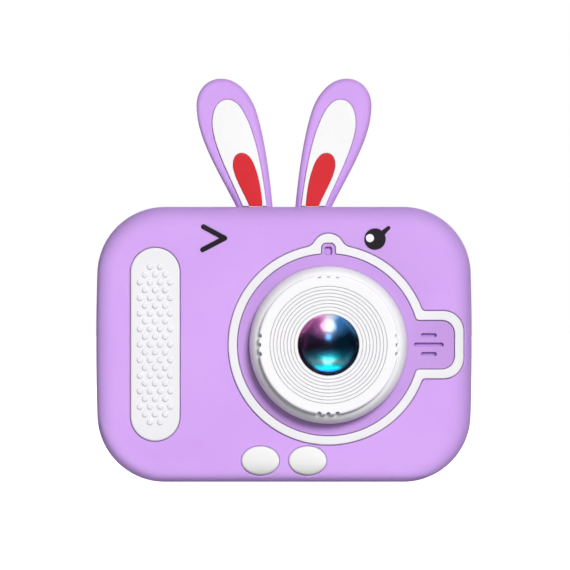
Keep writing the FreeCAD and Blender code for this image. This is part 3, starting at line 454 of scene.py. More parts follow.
def jacket_outline(step=1.1):
    """The jacket from in front, anticlockwise from the middle of its base."""
    side_x, corner_z = JACKET_W / 2 - SIDE_R, MID_Z - CORNER_R
    corner_x = side_x + math.sqrt((SIDE_R - CORNER_R) ** 2 - corner_z**2)
    lean = math.degrees(math.asin(corner_z / (SIDE_R - CORNER_R)))
    low, high = MID_Z - corner_z, MID_Z + corner_z
    return np.concatenate([
        run((0, 0), (corner_x, 0)),
        arc(corner_x, low, CORNER_R, -90, -lean, step), arc(side_x, MID_Z, SIDE_R, -lean, lean, step),
        arc(corner_x, high, CORNER_R, lean, 90, step), run((corner_x, JACKET_H), (-corner_x, JACKET_H)),
        arc(-corner_x, high, CORNER_R, 90, 180 - lean, step),
        arc(-side_x, MID_Z, SIDE_R, 180 - lean, 180 + lean, step),
        arc(-corner_x, low, CORNER_R, 180 + lean, 270, step), run((-corner_x, 0), (0, 0)),
    ])


jacket_ring = jacket_outline()


def quarter(depth, radius):
    """How far a quarter-round has fallen at a distance in from its edge."""
    short = np.clip(radius - depth, 0, radius)
    return radius - np.sqrt(np.maximum(radius**2 - short**2, 0))


def jacket_skin(points):
    """The y of the jacket's front at (x, z): flat, then rolling over at the edge."""
    depth = reach(jacket_ring, points)
    depth = np.where(inside(jacket_ring, points), depth, 0)
    return FRONT_Y + quarter(depth, FRONT_ROUND)


def magnifier(ring, bump, bump_top, bump_corner, bump_fillet, half, end, corner, fillet):
    """The outline of a ring with a bump on top and a tab to the right, anticlockwise."""
    x, z = LENS_X, LENS_Z
    tab_x = math.sqrt((ring + fillet) ** 2 - (half + fillet) ** 2)
    tab_turn = math.degrees(math.atan2(half + fillet, tab_x))
    shift, centre = bump - bump_corner, bump_top - bump_corner
    reach_out, near = ring + bump_fillet, bump_corner + bump_fillet
    # The fillet's centre is a fillet away from both the ring and the bump's corner arc.
    away = math.hypot(shift, centre)
    along = (reach_out**2 - near**2 + away**2) / (2 * away)
    if along < reach_out and bump_fillet > 1:
        off = math.sqrt(reach_out**2 - along**2)
        fx, fz = (along * shift + off * centre) / away, (along * centre - off * shift) / away
        lean = math.degrees(math.atan2(fz - centre, fx - shift))
    else:
        fx = bump + bump_fillet
        fz = math.sqrt(reach_out**2 - fx**2)
        lean = 0.0
    bump_turn = math.degrees(math.atan2(fz, fx))
    fine = 0.2
    return np.concatenate([
        run((x + end, z - half + corner), (x + end, z + half - corner)),
        arc(x + end - corner, z + half - corner, corner, 0, 90, 0.35),
        run((x + end - corner, z + half), (x + tab_x, z + half)),
        arc(x + tab_x, z + half + fillet, fillet, -90, -180 + tab_turn, fine),
        arc(x, z, ring, tab_turn, bump_turn, 0.6),
        arc(x + fx, z + fz, bump_fillet, 180 + bump_turn, 180 + lean, fine),
        arc(x + shift, z + centre, bump_corner, lean, 90, 0.25),
        [(x + shift, z + bump_top)] if shift else np.empty((0, 2)),
        arc(x - shift, z + centre, bump_corner, 90, 180 - lean, 0.25),
        arc(x - fx, z + fz, bump_fillet, -lean, -bump_turn, fine),
        arc(x, z, ring, 180 - bump_turn, 360 - tab_turn, 0.6),
        arc(x + tab_x, z - half - fillet, fillet, 180 - tab_turn, 90, fine),
        run((x + tab_x, z - half), (x + end - corner, z - half)),
        arc(x + end - corner, z - half + corner, corner, -90, 0, 0.35),
    ])


surround_rim = magnifier(26.6, 4.25, 29.6, 4.25, 3.4, 9.0, 36.0, 5.5, 1.1)
panel_rim = magnifier(24.3, 1.92, 27.1, 1.35, 0.3, 6.55, 33.6, 3.5, 1.0)


ROLL = (0, 15, 30, 45, 60, 75, 90)


def roll(angle):
    """How far a rolled edge has come in and down at so many degrees, as shares of its radius."""
    return 1 - math.sin(math.radians(angle)), 1 - math.cos(math.radians(angle))


def set_at(points, y):
    """Flat (x, z) points set at a y, one for all of them or one each."""
    return np.stack([points[:, 0], np.broadcast_to(y, len(points)), points[:, 1]], 1)


def raised(shell, rim, skin, rise, edge, sunk, openings=(), lip=0.3, crown=0.0, floor=None, through=()):
    """A plate over a curved skin: rounded rim, straight wall down to sunk, lips round its openings."""
    def top(points):
        depth = reach(rim, points)
        swell = crown * (1 - np.exp(-depth / 2.5))
        return set_at(points, skin(points) - rise + quarter(depth, edge) - swell)

    border = grown(rim, -edge * roll(80)[0])
    insets = [edge * roll(a)[0] for a in (65, 50, 35, 20, 8)]
    guides = [grown(rim, -d) for d in [*insets, edge, edge + 0.3]]
    mouths = [grown(o, lip) for o in openings]
    guides += [grown(o, lip + 0.25) for o in openings]
    low, high = rim.min(axis=0), rim.max(axis=0)
    pitch = 1.7
    grid = np.array([(x, z) for x in np.arange(low[0], high[0], pitch)
                     for z in np.arange(low[1], high[1], pitch)])
    grid = grid[inside(rim, grid) & (reach(rim, grid) > edge + 0.8)]
    for o in [*openings, *through]:
        grid = grid[~inside(grown(o, lip + 0.8), grid)]
    shell.pattern(border, guides, [*mouths, *through], grid, top)
    shell.between([top(border), set_at(rim, skin(rim) - rise + edge), set_at(rim, skin(rim) + sunk)])
    for opening in [*openings, *through]:
        level = skin(opening) - rise
        loops = [top(opening)]
        if not any(opening is t for t in through):
            loops = [top(grown(opening, lip))]
            loops += [set_at(grown(opening, lip * inset), level + lip * drop)
                      for inset, drop in map(roll, ROLL[1:])]
        blind = floor is not None and len(loops) > 1
        bottom = level + floor if blind else skin(opening) + sunk
        loops.append(set_at(opening, bottom))
        shell.between(loops)
        if blind:
            shell.lid(loops[-1])


surround = Shell()
raised(surround, surround_rim, jacket_skin, PROUD, 0.32, 1.8, [panel_rim], lip=0.28)
surround.piece("lens_surround_trim", shaded_white_abs, slot="white_abs", nodes=["lens_surround"])

# ---- Front panel ----------------------------------------------------------------------------
# Lilac ABS plate inside the surround, level with the jacket. Three blind slots are moulded in
# its tab, and a small pocket in its bump leads to the microphone.

# The third colour is the painted shade in the creases.
lilac_abs = moulded_abs("lilac_abs_satin_mould", "#ca9fe5", "#c69ae2", "#8a63a6", 0.4, 0.4, 0.01,
                        rubbed=True)


def slot_loop(x, z, length, height):
    """A slot with round ends, anticlockwise."""
    half, r = length / 2 - height / 2, height / 2
    return np.concatenate([
        run((x - half, z - r), (x + half, z - r)), arc(x + half, z, r, -90, 90, 0.12),
        run((x + half, z + r), (x - half, z + r)), arc(x - half, z, r, 90, 270, 0.12),
    ])


def circle(x, z, radius, step=0.45):
    """A full circle, anticlockwise."""
    return arc(x, z, radius, 0, 360, step)


def box_loop(s0, s1, y0, y1, r):
    """A rectangle with round corners, anticlockwise."""
    return np.concatenate([
        run((s0 + r, y0), (s1 - r, y0)), arc(s1 - r, y0 + r, r, -90, 0, 0.3),
        run((s1, y0 + r), (s1, y1 - r)), arc(s1 - r, y1 - r, r, 0, 90, 0.3),
        run((s1 - r, y1), (s0 + r, y1)), arc(s0 + r, y1 - r, r, 90, 180, 0.3),
        run((s0, y1 - r), (s0, y0 + r)), arc(s0 + r, y0 + r, r, 180, 270, 0.3),
    ])


slots = [slot_loop(LENS_X + 26.7, LENS_Z + n * 2.5, length, 1.1)
         for n, length in ((-1, 4.2), (0, 7.9), (1, 4.2))]
panel = Shell()
panel_edge = grown(panel_rim, -GAP)
pocket = box_loop(LENS_X - 1.0, LENS_X + 1.0, LENS_Z + 23.8, LENS_Z + 26.1, 0.6)
raised(panel, panel_edge, jacket_skin, 0.0, 0.25, 1.8, [pocket, *slots], lip=0.16, floor=1.3,
       through=[circle(LENS_X, LENS_Z, 21.02)])
panel.piece("front_panel_plate", lilac_abs, slot="lilac_abs", nodes=["front_panel"])

# ---- Grip pad -------------------------------------------------------------------------------
# White ABS pad with round ends that stands through a window of the jacket. Its studs are low and
# flat-topped, in rows of four and three by turns, so that a small hand doesn't slip.

GRIP_X, GRIP_W, GRIP_L = -34.25, 13.1, 51.4
STUD_R = 0.83


def grip_loop(by=0.0):
    """The pad from in front, moved outwards by so much."""
    r = GRIP_W / 2
    low, high = MID_Z - GRIP_L / 2 + r, MID_Z + GRIP_L / 2 - r
    return grown(np.concatenate([
        run((GRIP_X + r, low), (GRIP_X + r, high)), arc(GRIP_X, high, r, 0, 180),
        run((GRIP_X - r, high), (GRIP_X - r, low)), arc(GRIP_X, low, r, 180, 360),
    ]), by)


def stud_places():
    """Rows of four and three by turns, with two in the first row and the last."""
    rows = 21
    for row in range(rows):
        count = 2 if row in (0, rows - 1) else (4 if row % 2 == 0 else 3)
        for n in range(count):
            yield GRIP_X + (n - (count - 1) / 2) * 2.7, MID_Z + (row - (rows - 1) / 2) * 2.065


grip = Shell()
raised(grip, grip_loop(), jacket_skin, PROUD, 0.45, 1.9)
for x, z in stud_places():
    top_y = FRONT_Y - PROUD
    loops = []
    for share, height in ((1.06, -0.05), (1.0, 0.02), (0.93, 0.2), (0.86, 0.31), (0.76, 0.37), (0.5, 0.4),
                          (0.25, 0.41)):
        turn = np.linspace(0, 2 * math.pi, 19)[:-1]
        ring = np.stack([x + STUD_R * share * np.cos(turn), z + STUD_R * share * np.sin(turn)], 1)
        loops.append([(px, top_y - height, pz) for px, pz in ring])
    grip.between(loops)
    grip.lid(loops[-1])
    grip.lid(loops[0])
grip.piece("grip_pad_studded", shaded_white_abs, slot="white_abs", nodes=["grip_pad"])

# ---- Screen, rear camera and buttons --------------------------------------------------------
# Acrylic windows printed black on the inside, over the display and the second camera, and
# lilac ABS buttons that stand a little out of the white shell. They are pressed with a thumb.


def printed_acrylic(name):
    """Black-printed acrylic: a deep gloss, faint dust, and a slightly paler display area behind it."""
    m = blank(name)
    place = add(m, "ShaderNodeTexCoord").outputs["Object"]
    parts = add(m, "ShaderNodeSeparateXYZ", links={"Vector": place})
    gate = None
    for axis, middle, half in (("X", 10.0, 20.4), ("Z", LENS_Z, 15.3)):
        away = add(m, "ShaderNodeMath", {"operation": "SUBTRACT", 1: middle * 0.001},
                   {0: parts.outputs[axis]})
        size = add(m, "ShaderNodeMath", {"operation": "ABSOLUTE"}, {0: away})
        within = add(m, "ShaderNodeMath", {"operation": "LESS_THAN", 1: half * 0.001}, {0: size})
        gate = add(m, "ShaderNodeMath", {"operation": "MULTIPLY"}, {0: gate, 1: within}) if gate else within
    tone = add(m, "ShaderNodeMixRGB", {"Color1": linear("#0b0b0e"), "Color2": linear("#22262d")},
               {"Fac": gate})
    dull = uneven_gloss(m, place, 6, 6.0, 0.03, 0.13)
    skin = add(m, "ShaderNodeBsdfPrincipled", {"IOR": 1.49}, {"Base Color": tone, "Roughness": dull})
    add(m, "ShaderNodeOutputMaterial", links={"Surface": skin})
    return m


dress(printed_acrylic("acrylic_window_back_printed"), "screen_window", "rear_camera_window")
dress(lilac_abs, *[key + "_button" for key in ("ok", "up", "down", "left", "right", "power", "menu")])
dress(white_abs, "shutter_button")

# ---- Silicone jacket ------------------------------------------------------------------------
# One soft piece, compression moulded in lilac silicone: a sleeve that hugs the case, open at
# the back, with the rabbit ears grown out of its top. Its openings have soft rounded lips.

WALL, SKIN_T, BACK_LIP = 2.2, 2.0, 4.4
LIP = 0.45


def cast_silicone(name, pale, deep, sides=None, roughness=0.52, scatter=0.12):
    """Soft-touch silicone: a dry, powdery sheen, slight depth of colour, lint-fine grain, no hard glints;
    painted shade on the rolled edge if its tone is given.
    """
    m = blank(name)
    place = add(m, "ShaderNodeTexCoord").outputs["Object"]
    clouds = add(m, "ShaderNodeTexNoise", {"Scale": per_mm(25), "Detail": 3.0}, {"Vector": place})
    tone = add(m, "ShaderNodeValToRGB", links={"Fac": clouds.outputs["Fac"]},
               stops=[(0.35, deep), (0.65, pale)])
    if sides:
        # Painted shade: behind the front and below the ears, the rolled edge is darkened towards a deeper
        # tone.
        parts = add(m, "ShaderNodeSeparateXYZ", links={"Vector": place})
        back = add(m, "ShaderNodeMapRange", {"From Min": -0.0094, "From Max": -0.0066, "To Max": 1.0},
                   {"Value": parts.outputs["Y"]})
        below = add(m, "ShaderNodeMapRange", {"From Min": 0.0735, "From Max": 0.0725},
                    {"Value": parts.outputs["Z"]})
        share = add(m, "ShaderNodeMath", {"operation": "MULTIPLY"}, {0: back, 1: below})
        tone = add(m, "ShaderNodeMixRGB", {"Color2": linear(sides)}, {"Fac": share, "Color1": tone})
    # The mould's blasted grain is about 0.1 mm; it is drawn at 0.3 mm so that it shows.
    grit = add(m, "ShaderNodeTexNoise", {"Scale": per_mm(0.3), "Detail": 3.0}, {"Vector": place})
    bump = add(m, "ShaderNodeBump", {"Strength": 0.3, "Distance": 0.012 * 0.001},
               {"Height": grit.outputs["Fac"]})
    gloss = uneven_gloss(m, place, 9, 4.0, roughness - 0.07, roughness + 0.07)
    skin = add(m, "ShaderNodeBsdfPrincipled",
               {"IOR": 1.42, "Subsurface Weight": scatter, "Subsurface Radius": (1.0, 0.6, 1.0),
                "Subsurface Scale": 0.0012, "Sheen Weight": 0.05, "Sheen Roughness": 0.5},
               {"Base Color": tone, "Roughness": gloss, "Normal": bump})
    add(m, "ShaderNodeOutputMaterial", links={"Surface": skin})
    return m


# The fourth colour, the deeper tone, is painted shade on the jacket's rolled edge.
lilac_silicone = cast_silicone("lilac_silicone_compression_moulded", "#ca9fe5", "#c69ae2", "#c19ae2")
white_silicone = cast_silicone("white_silicone_insert", "#fafaf9", "#f6f6f5", None, 0.42, 0.08)
# A greyer copy of the white silicone for the feet; its greyer tone is painted shade.
shaded_foot_silicone = cast_silicone("white_silicone_foot_shaded", "#f3f3f2", "#efefee", None, 0.45, 0.08)
red_silicone = cast_silicone("red_silicone_insert", "#dc3038", "#d62a33", None, 0.45, 0.0)
black_silicone = cast_silicone("black_silicone_insert", "#2a262c", "#201d22", None, 0.38, 0.0)

ring_step = np.linalg.norm(np.roll(jacket_ring, -1, 0) - jacket_ring, axis=1)
ring_run = np.concatenate([[0], np.cumsum(ring_step)])
RING_LENGTH = ring_run[-1]
ring_out = grown(jacket_ring, 1.0) - jacket_ring


def round_the_jacket(points, inset):
    """(distance along the outline, y) to (x, y, z), so far in from the outside."""
    s = np.mod(points[:, 0], RING_LENGTH)
    wrapped = [np.append(c, c[0]) for c in (*jacket_ring.T, *ring_out.T)]
    x, z, nx, nz = [np.interp(s, ring_run, c) for c in wrapped]
    return np.stack([x - inset * nx, points[:, 1], z - inset * nz], 1)


def run_at(x, z):
    """The distance along the outline of the outline's point nearest (x, z)."""
    return ring_run[int(np.argmin(np.hypot(jacket_ring[:, 0] - x, jacket_ring[:, 1] - z)))]


def oval(x, z, rx, rz, count=64):
    """An upright oval, anticlockwise."""
    turn = np.linspace(0, 2 * math.pi, count + 1)[:-1]
    return np.stack([x + rx * np.cos(turn), z + rz * np.sin(turn)], 1)


FOOT_X, FOOT_Z, FOOT_RX, FOOT_RZ = 6.28, 5.66, 5.05, 3.87
feet_loops = [oval(s * FOOT_X, FOOT_Z, FOOT_RX, FOOT_RZ) for s in (-1, 1)]
front_openings = [grown(surround_rim, GAP), grip_loop(GAP), *[grown(f, 0.05) for f in feet_loops]]
SHUTTER_X, SHUTTER_Y, SHUTTER_HOLE = -28.0, 2.0, 5.2
right_mid, left_mid = run_at(50, MID_Z), run_at(-50, MID_Z)
shutter_s = run_at(SHUTTER_X, JACKET_H)
side_openings = [
    box_loop(right_mid - 16.7, right_mid + 15.3, 7.2, 14.8, 1.4),
    box_loop(left_mid - 4.9, left_mid + 4.9, 9.5, 14.9, 1.4),
    circle(shutter_s, SHUTTER_Y, SHUTTER_HOLE),
]


def lipped(shell, openings, bend_outer, bend_inner, lip):
    """Rounded lips round openings, and their walls down to the inner skin."""
    for opening in openings:
        loops = [bend_outer(grown(opening, lip * inset), lip * drop) for inset, drop in map(roll, ROLL)]
        shell.between([*loops, bend_inner(opening)])


def front_face(points, drop=0.0):
    """Points on the jacket's front, or so far behind it."""
    return set_at(points, jacket_skin(points) + drop)


INNER_ROUND = FRONT_ROUND - WALL
inner_front_y = FRONT_Y + SKIN_T - 0.05


def inner_face(points):
    """Points on the inside of the jacket's front, against the case."""
    depth = reach(jacket_ring, points) - (WALL - 0.05)
    depth = np.where(inside(jacket_ring, points), np.maximum(depth, 0), 0)
    return set_at(points, inner_front_y + quarter(depth, INNER_ROUND))


def at_inset(inset, y):
    """The jacket's outline moved inwards by so much, at a y."""
    return set_at(jacket_ring - inset * ring_out, y)


def band(shell, openings, inset, y0, y1, lip):
    """The jacket's side walls as a flat strip with openings, wrapped round it."""
    rows = np.linspace(y0, y1, 6)
    border = np.concatenate([
        np.stack([ring_run, np.full(len(ring_run), y0)], 1),
        np.stack([np.full(4, RING_LENGTH), rows[1:-1]], 1),
        np.stack([ring_run[::-1], np.full(len(ring_run), y1)], 1),
        np.stack([np.zeros(4), rows[1:-1][::-1]], 1),
    ])
    extra = np.array([(s, y) for y in rows[1:-1] for s in ring_run[1:-1]])
    for o in openings:
        extra = extra[~inside(grown(o, lip + 0.45), extra)]
    mouths = [grown(o, lip) for o in openings]
    guides = [grown(o, lip + 0.3) for o in openings]
    # The strip's two ends meet, so its last point stays just short of its first.
    shell.pattern(border, guides, mouths, extra,
                  lambda p: round_the_jacket(np.clip(p, (0, -99), (RING_LENGTH - 1e-9, 99)), inset))


jacket = Shell()
START_ANGLE = 80
front_border = jacket_ring - FRONT_ROUND * roll(START_ANGLE)[0] * ring_out
front_guides = [jacket_ring - FRONT_ROUND * roll(a)[0] * ring_out
                for a in (70, 60, 50, 40, 30, 20, 12, 5, 0)]
front_guides.append(jacket_ring - (FRONT_ROUND + 0.5) * ring_out)
mouths = [grown(o, LIP) for o in front_openings]
lip_guides = [grown(o, LIP + 0.3) for o in front_openings]
grid = np.array([(x, z) for x in np.arange(-43, 44, 2.2) for z in np.arange(7, 68, 2.2)])
for o in front_openings:
    grid = grid[~inside(grown(o, LIP + 0.8), grid)]
jacket.pattern(front_border, [*front_guides, *lip_guides], mouths, grid, front_face)
lipped(jacket, front_openings, front_face, inner_face, LIP)
side_front, side_back = FRONT_Y + FRONT_ROUND, BACK_Y - BACK_ROUND
jacket.between([front_face(front_border), at_inset(0, side_front)])
band(jacket, side_openings, 0.0, side_front, side_back, LIP)
wall_in = WALL - 0.05
lipped(jacket, side_openings, round_the_jacket, lambda o: round_the_jacket(o, wall_in), LIP)
edge_in = WALL + BACK_LIP
inner_back, inner_r = BACK_Y - SKIN_T + 0.05, BACK_ROUND - WALL
outer_back = [(BACK_ROUND * roll(a)[1], BACK_Y - BACK_ROUND * roll(a)[0]) for a in range(0, 91, 10)]
back_edge = [(edge_in - 0.6 * inset, BACK_Y - 0.6 * drop) for inset, drop in map(roll, ROLL)]
within_back = [(wall_in + inner_r * inset, inner_back - inner_r * drop)
               for inset, drop in map(roll, (30, 60, 90))]
back_profile = [*outer_back, (BACK_ROUND + 0.4, BACK_Y), *back_edge, (edge_in, inner_back),
                (wall_in + inner_r, inner_back), *within_back]
jacket.between([at_inset(*p) for p in back_profile])
inner_side_front, inner_side_back = inner_front_y + INNER_ROUND, inner_back - inner_r
band(jacket, side_openings, wall_in, inner_side_front, inner_side_back, 0.0)
inner_border = jacket_ring - wall_in * ring_out
inner_start, *inner_guides = [jacket_ring - (wall_in + INNER_ROUND * roll(a)[0]) * ring_out
                              for a in (START_ANGLE, 60, 30, 0)]
jacket.between([at_inset(wall_in, inner_side_front), inner_face(inner_start)])
jacket.pattern(inner_start, inner_guides, front_openings, grid, inner_face)


# The ears are flat, soft and thick, with rounded rims and a pocket for the lining.
EAR_Y, EAR_HALF, EAR_ROUND, EAR_LIP, EAR_TOP = 2.5, 3.5, 1.6, 0.3, 107.4


def curve(places, count=14):
    """Points along a cubic Bezier, without its last one."""
    t = np.linspace(0, 1, count + 1)[:-1, None]
    a, b, c, d = [np.array(p, float) for p in places]
    return a * (1 - t)**3 + 3 * b * t * (1 - t)**2 + 3 * c * t**2 * (1 - t) + d * t**3


def mirrored(loop):
    """A loop mirrored left to right, still anticlockwise."""
    return (loop * (-1, 1))[::-1]


ear_side = np.concatenate([
    curve([(-2.9, 72.0), (-3.7, 80.6), (-4.9, 90.4), (-7.2, 98.1)], 24),
    curve([(-7.2, 98.1), (-8.6, 102.8), (-12.0, EAR_TOP), (-16.7, EAR_TOP)]),
    curve([(-16.7, EAR_TOP), (-20.6, EAR_TOP), (-23.3, 104.3), (-23.3, 100.2)]),
    curve([(-23.3, 100.2), (-23.3, 91.2), (-17.1, 82.2), (-12.1, 72.0)], 28),
    [(-12.1, 72.0)],
])
lining_rim = np.concatenate([
    curve([(-4.6, 73.4), (-5.5, 80.3), (-6.6, 88.2), (-9.1, 94.8)], 22),
    curve([(-9.1, 94.8), (-10.7, 99.0), (-12.6, 101.8), (-15.0, 101.8)]),
    curve([(-15.0, 101.8), (-17.6, 101.8), (-19.1, 99.2), (-19.1, 95.6)]),
    curve([(-19.1, 95.6), (-19.1, 89.8), (-14.2, 81.0), (-11.0, 73.4)], 24),
    run((-11.0, 73.4), (-4.6, 73.4)),
])
accent_rim = np.concatenate([
    curve([(-5.8, 73.4), (-6.0, 76.5), (-6.6, 80.5), (-7.6, 83.2)], 12),
    curve([(-7.6, 83.2), (-8.5, 86.0), (-9.7, 87.5), (-11.3, 87.5)], 10),
    curve([(-11.3, 87.5), (-12.7, 87.5), (-13.6, 86.3), (-13.6, 84.5)], 8),
    curve([(-13.6, 84.5), (-13.6, 81.4), (-10.7, 77.1), (-9.2, 73.4)], 12),
    run((-9.2, 73.4), (-5.8, 73.4)),
])


def ear(shell, side, lining):
    """One ear; its rim is the side curve, and its foot is open inside the jacket's top."""
    ring = np.concatenate([side, run(side[-1], side[0])[1:]])
    out = grown(ring, 1.0) - ring
    out[0], out[len(side) - 1] = out[1], out[len(side) - 2]
    out[len(side):] = 0

    def face(points, facing):
        depth = reach(side, points, closed=False)
        depth = np.where(inside(ring, points), depth, 0)
        return set_at(points, EAR_Y + facing * (EAR_HALF - quarter(depth, EAR_ROUND)))

    border = ring - EAR_ROUND * roll(78)[0] * out
    guides = [(ring - EAR_ROUND * roll(a)[0] * out)[:len(side)] for a in (66, 54, 42, 30, 20, 10, 0)]

    def wall(facing):
        return set_at(ring, EAR_Y + facing * (EAR_HALF - EAR_ROUND))

    for facing in (-1, 1):
        opening = [grown(lining, 0.05)] if facing < 0 else []
        closed_guides = [grown(o, 0.55) for o in opening]
        shell_points = [p for g in guides for p in g[1:-1] if inside(border, p[None])[0]]
        for o in opening:
            shell_points = [p for p in shell_points if not inside(grown(o, 0.6), p[None])[0]]
        shell.pattern(border, closed_guides, [grown(o, EAR_LIP) for o in opening], shell_points,
                      lambda p: face(p, facing))
        shell.between([face(border, facing), wall(facing)])
        for o in opening:
            loops = []
            for inset, drop in map(roll, ROLL):
                at = face(grown(o, EAR_LIP * inset), facing)
                at[:, 1] += EAR_LIP * drop
                loops.append(at)
            floor = loops[-1].copy()
            floor[:, 1] = EAR_Y - EAR_HALF + 1.3
            shell.between([*loops, floor])
            shell.lid(floor)
    shell.between([wall(-1), wall(1)])


ear(jacket, ear_side, lining_rim)
ear(jacket, mirrored(ear_side), mirrored(lining_rim))
silicone_jacket = jacket.piece("silicone_jacket_rabbit", lilac_silicone, slot="lilac_silicone",
                               nodes=["silicone_jacket"])

# ---- Ear linings and accents ----------------------------------------------------------------
# White and red silicone, moulded first and set into the ears before the jacket cures round
# them. They swell a little out of their pockets.


def ear_front(points):
    """The y of the ears' flat fronts."""
    return np.full(len(points), EAR_Y - EAR_HALF)


for word, turn in (("left", lambda loop: loop), ("right", mirrored)):
    lining = Shell()
    raised(lining, turn(lining_rim), ear_front, 0.6, 0.22, 1.2, [grown(turn(accent_rim), 0.05)], lip=0.12,
           crown=0.1, floor=0.9)
    lining.piece(word + "_ear_lining_insert", white_silicone, slot="white_inlay",
                 nodes=[word + "_ear_lining"])
    accent = Shell()
    raised(accent, turn(accent_rim), ear_front, 0.7, 0.25, 0.2, crown=0.15)
    accent.piece(word + "_ear_accent_insert", red_silicone, slot="red_inlay", nodes=[word + "_ear_accent"])

# ---- Feet -----------------------------------------------------------------------------------
# Two domed white silicone ovals, set into the jacket low on the front, where they follow its
# rounded edge.

for word, loop in (("left", feet_loops[0]), ("right", feet_loops[1])):
    foot = Shell()
    raised(foot, loop, jacket_skin, 0.35, 0.5, 1.2, crown=0.5)
    foot.piece(word + "_foot_oval", shaded_foot_silicone, slot="white_inlay", nodes=[word + "_foot"])

# ---- Face -----------------------------------------------------------------------------------
# Black silicone strokes that stand out of the jacket: a winking eye, a round eye with one
# lash, and a white glint set into the round eye.


def pen_stroke(places, radius):
    """The outline of a pen stroke through three places that turns right, with round ends and elbow."""
    a, b, c = [np.array(p) for p in places]
    into, out = (b - a) / np.linalg.norm(b - a), (c - b) / np.linalg.norm(c - b)
    heading, leaving = [math.degrees(math.atan2(d[1], d[0])) for d in (into, out)]
    turn = (leaving - heading + 180) % 360 - 180
    crook = b + (out - into) / np.linalg.norm(out - into) * radius / math.cos(math.radians(turn) / 2)
    return np.concatenate([
        arc(*a, radius, heading + 270, heading + 90, 0.12),
        arc(*b, radius, heading + 90, heading + 90 + turn, 0.12),
        arc(*c, radius, leaving + 90, leaving - 90, 0.12), [crook],
    ])[::-1]


wink_rim = pen_stroke([(-21.4, 67.9), (-15.75, 64.85), (-21.6, 61.8)], 0.68)
wink = Shell()
raised(wink, wink_rim, jacket_skin, 0.35, 0.25, 0.7)
wink.piece("wink_eye_stroke", black_silicone, slot="black_inlay", nodes=["wink_eye"])

EYE_X, EYE_Z, EYE_R = 24.2, 64.6, 2.86


def eye_outline():
    """A disc with a short lash to the upper right."""
    start, end, r = np.array([25.6, 65.75]), np.array([27.8, 67.6]), 0.5
    heading = math.degrees(math.atan2(*(end - start)[::-1]))
    away = math.degrees(math.asin(r / EYE_R))
    return np.concatenate([
        arc(EYE_X, EYE_Z, EYE_R, heading + away + 1.5, heading + 360 - away - 1.5, 0.2),
        arc(*end, r, heading - 90, heading + 90, 0.12),
    ])


GLINT = circle(22.85, 64.85, 1.1, 0.15)
eye = Shell()
raised(eye, eye_outline(), jacket_skin, 0.35, 0.3, 0.7, [grown(GLINT, 0.03)], lip=0.08, crown=0.15,
       floor=0.5)
eye.piece("round_eye_disc", black_silicone, slot="black_inlay", nodes=["round_eye"])
glint = Shell()
raised(glint, GLINT, jacket_skin, 0.55, 0.2, 0.2, crown=0.1)
glint.piece("eye_glint_dot", white_silicone, slot="white_inlay", nodes=["eye_glint"])

# ---- Studio ---------------------------------------------------------------------------------
# A pale paper floor, a soft key from above right, and a camera with a long lens straight in
# front. Small softboxes that light nothing but the lens give the glass its glints.


def paper(name):
    """Matt white paper with a faint fibre, lit a little from within like a light table."""
    m = blank(name)
    place = add(m, "ShaderNodeTexCoord").outputs["Object"]
    fibre = add(m, "ShaderNodeTexNoise", {"Scale": per_mm(2), "Detail": 3.0}, {"Vector": place})
    tone = add(m, "ShaderNodeMixRGB", {"Color1": linear("#fbfbfb"), "Color2": linear("#ffffff")},
               {"Fac": fibre.outputs["Fac"]})
    skin = add(m, "ShaderNodeBsdfPrincipled",
               {"Roughness": 1.0, "Specular IOR Level": 0.0, "Emission Color": (1, 1, 1, 1),
                "Emission Strength": 0.85},
               {"Base Color": tone})
    add(m, "ShaderNodeOutputMaterial", links={"Surface": skin})
    return m


bm = bmesh.new()
bmesh.ops.create_grid(bm, x_segments=8, y_segments=8, size=12.0)
floor_mesh = bpy.data.meshes.new("studio_floor")
bm.to_mesh(floor_mesh)
bm.free()
floor = bpy.data.objects.new("studio_floor", floor_mesh)
bpy.context.scene.collection.objects.link(floor)
floor.data.materials.append(paper("white_paper_seamless"))
floor.visible_diffuse = floor.visible_glossy = floor.visible_transmission = False

world = bpy.data.worlds.new("studio_air")
bpy.context.scene.world = world
world.use_nodes = True
world.node_tree.nodes.clear()
seen = add(world, "ShaderNodeBackground", {"Color": (1, 1, 1, 1), "Strength": 1.0})
air = add(world, "ShaderNodeBackground", {"Color": (0.96, 0.97, 1.0, 1), "Strength": 0.15})
ray = add(world, "ShaderNodeLightPath")
both = add(world, "ShaderNodeMixShader", links={"Fac": ray.outputs["Is Camera Ray"], 1: air, 2: seen})
add(world, "ShaderNodeOutputWorld", links={"Surface": both})


def group(name, *members):
    """A collection that a lamp can be kept to."""
    made = bpy.data.collections.new(name)
    for member in members:
        made.objects.link(member)
    return made


lens_things = group("lens_things", glass_dome, hollow_element)
jacket_alone = group("jacket_alone", silicone_jacket)
# The members of this last group are marked as left out, so its lamps light everything else.
all_but_lens = group("all_but_lens", glass_dome, hollow_element)
for member in all_but_lens.collection_objects:
    member.light_linking.link_state = "EXCLUDE"


def sky_lamp(name, towards, angle, strength, only):
    """A wide lamp far away, so many degrees across, that shows in no reflection or glass."""
    light = bpy.data.lights.new(name, "SUN")
    light.angle, light.energy = math.radians(angle), strength
    made = bpy.data.objects.new(name, light)
    made.rotation_euler = Vector(towards).to_track_quat("Z", "Y").to_euler()
    made.visible_glossy = made.visible_transmission = False
    made.light_linking.receiver_collection = only
    bpy.context.scene.collection.objects.link(made)


AIM = (0, 0, 0.05)
LENS_AT = LENS_X * 0.001
LENS_FRONT = (LENS_AT, 0, LENS_Z * 0.001)


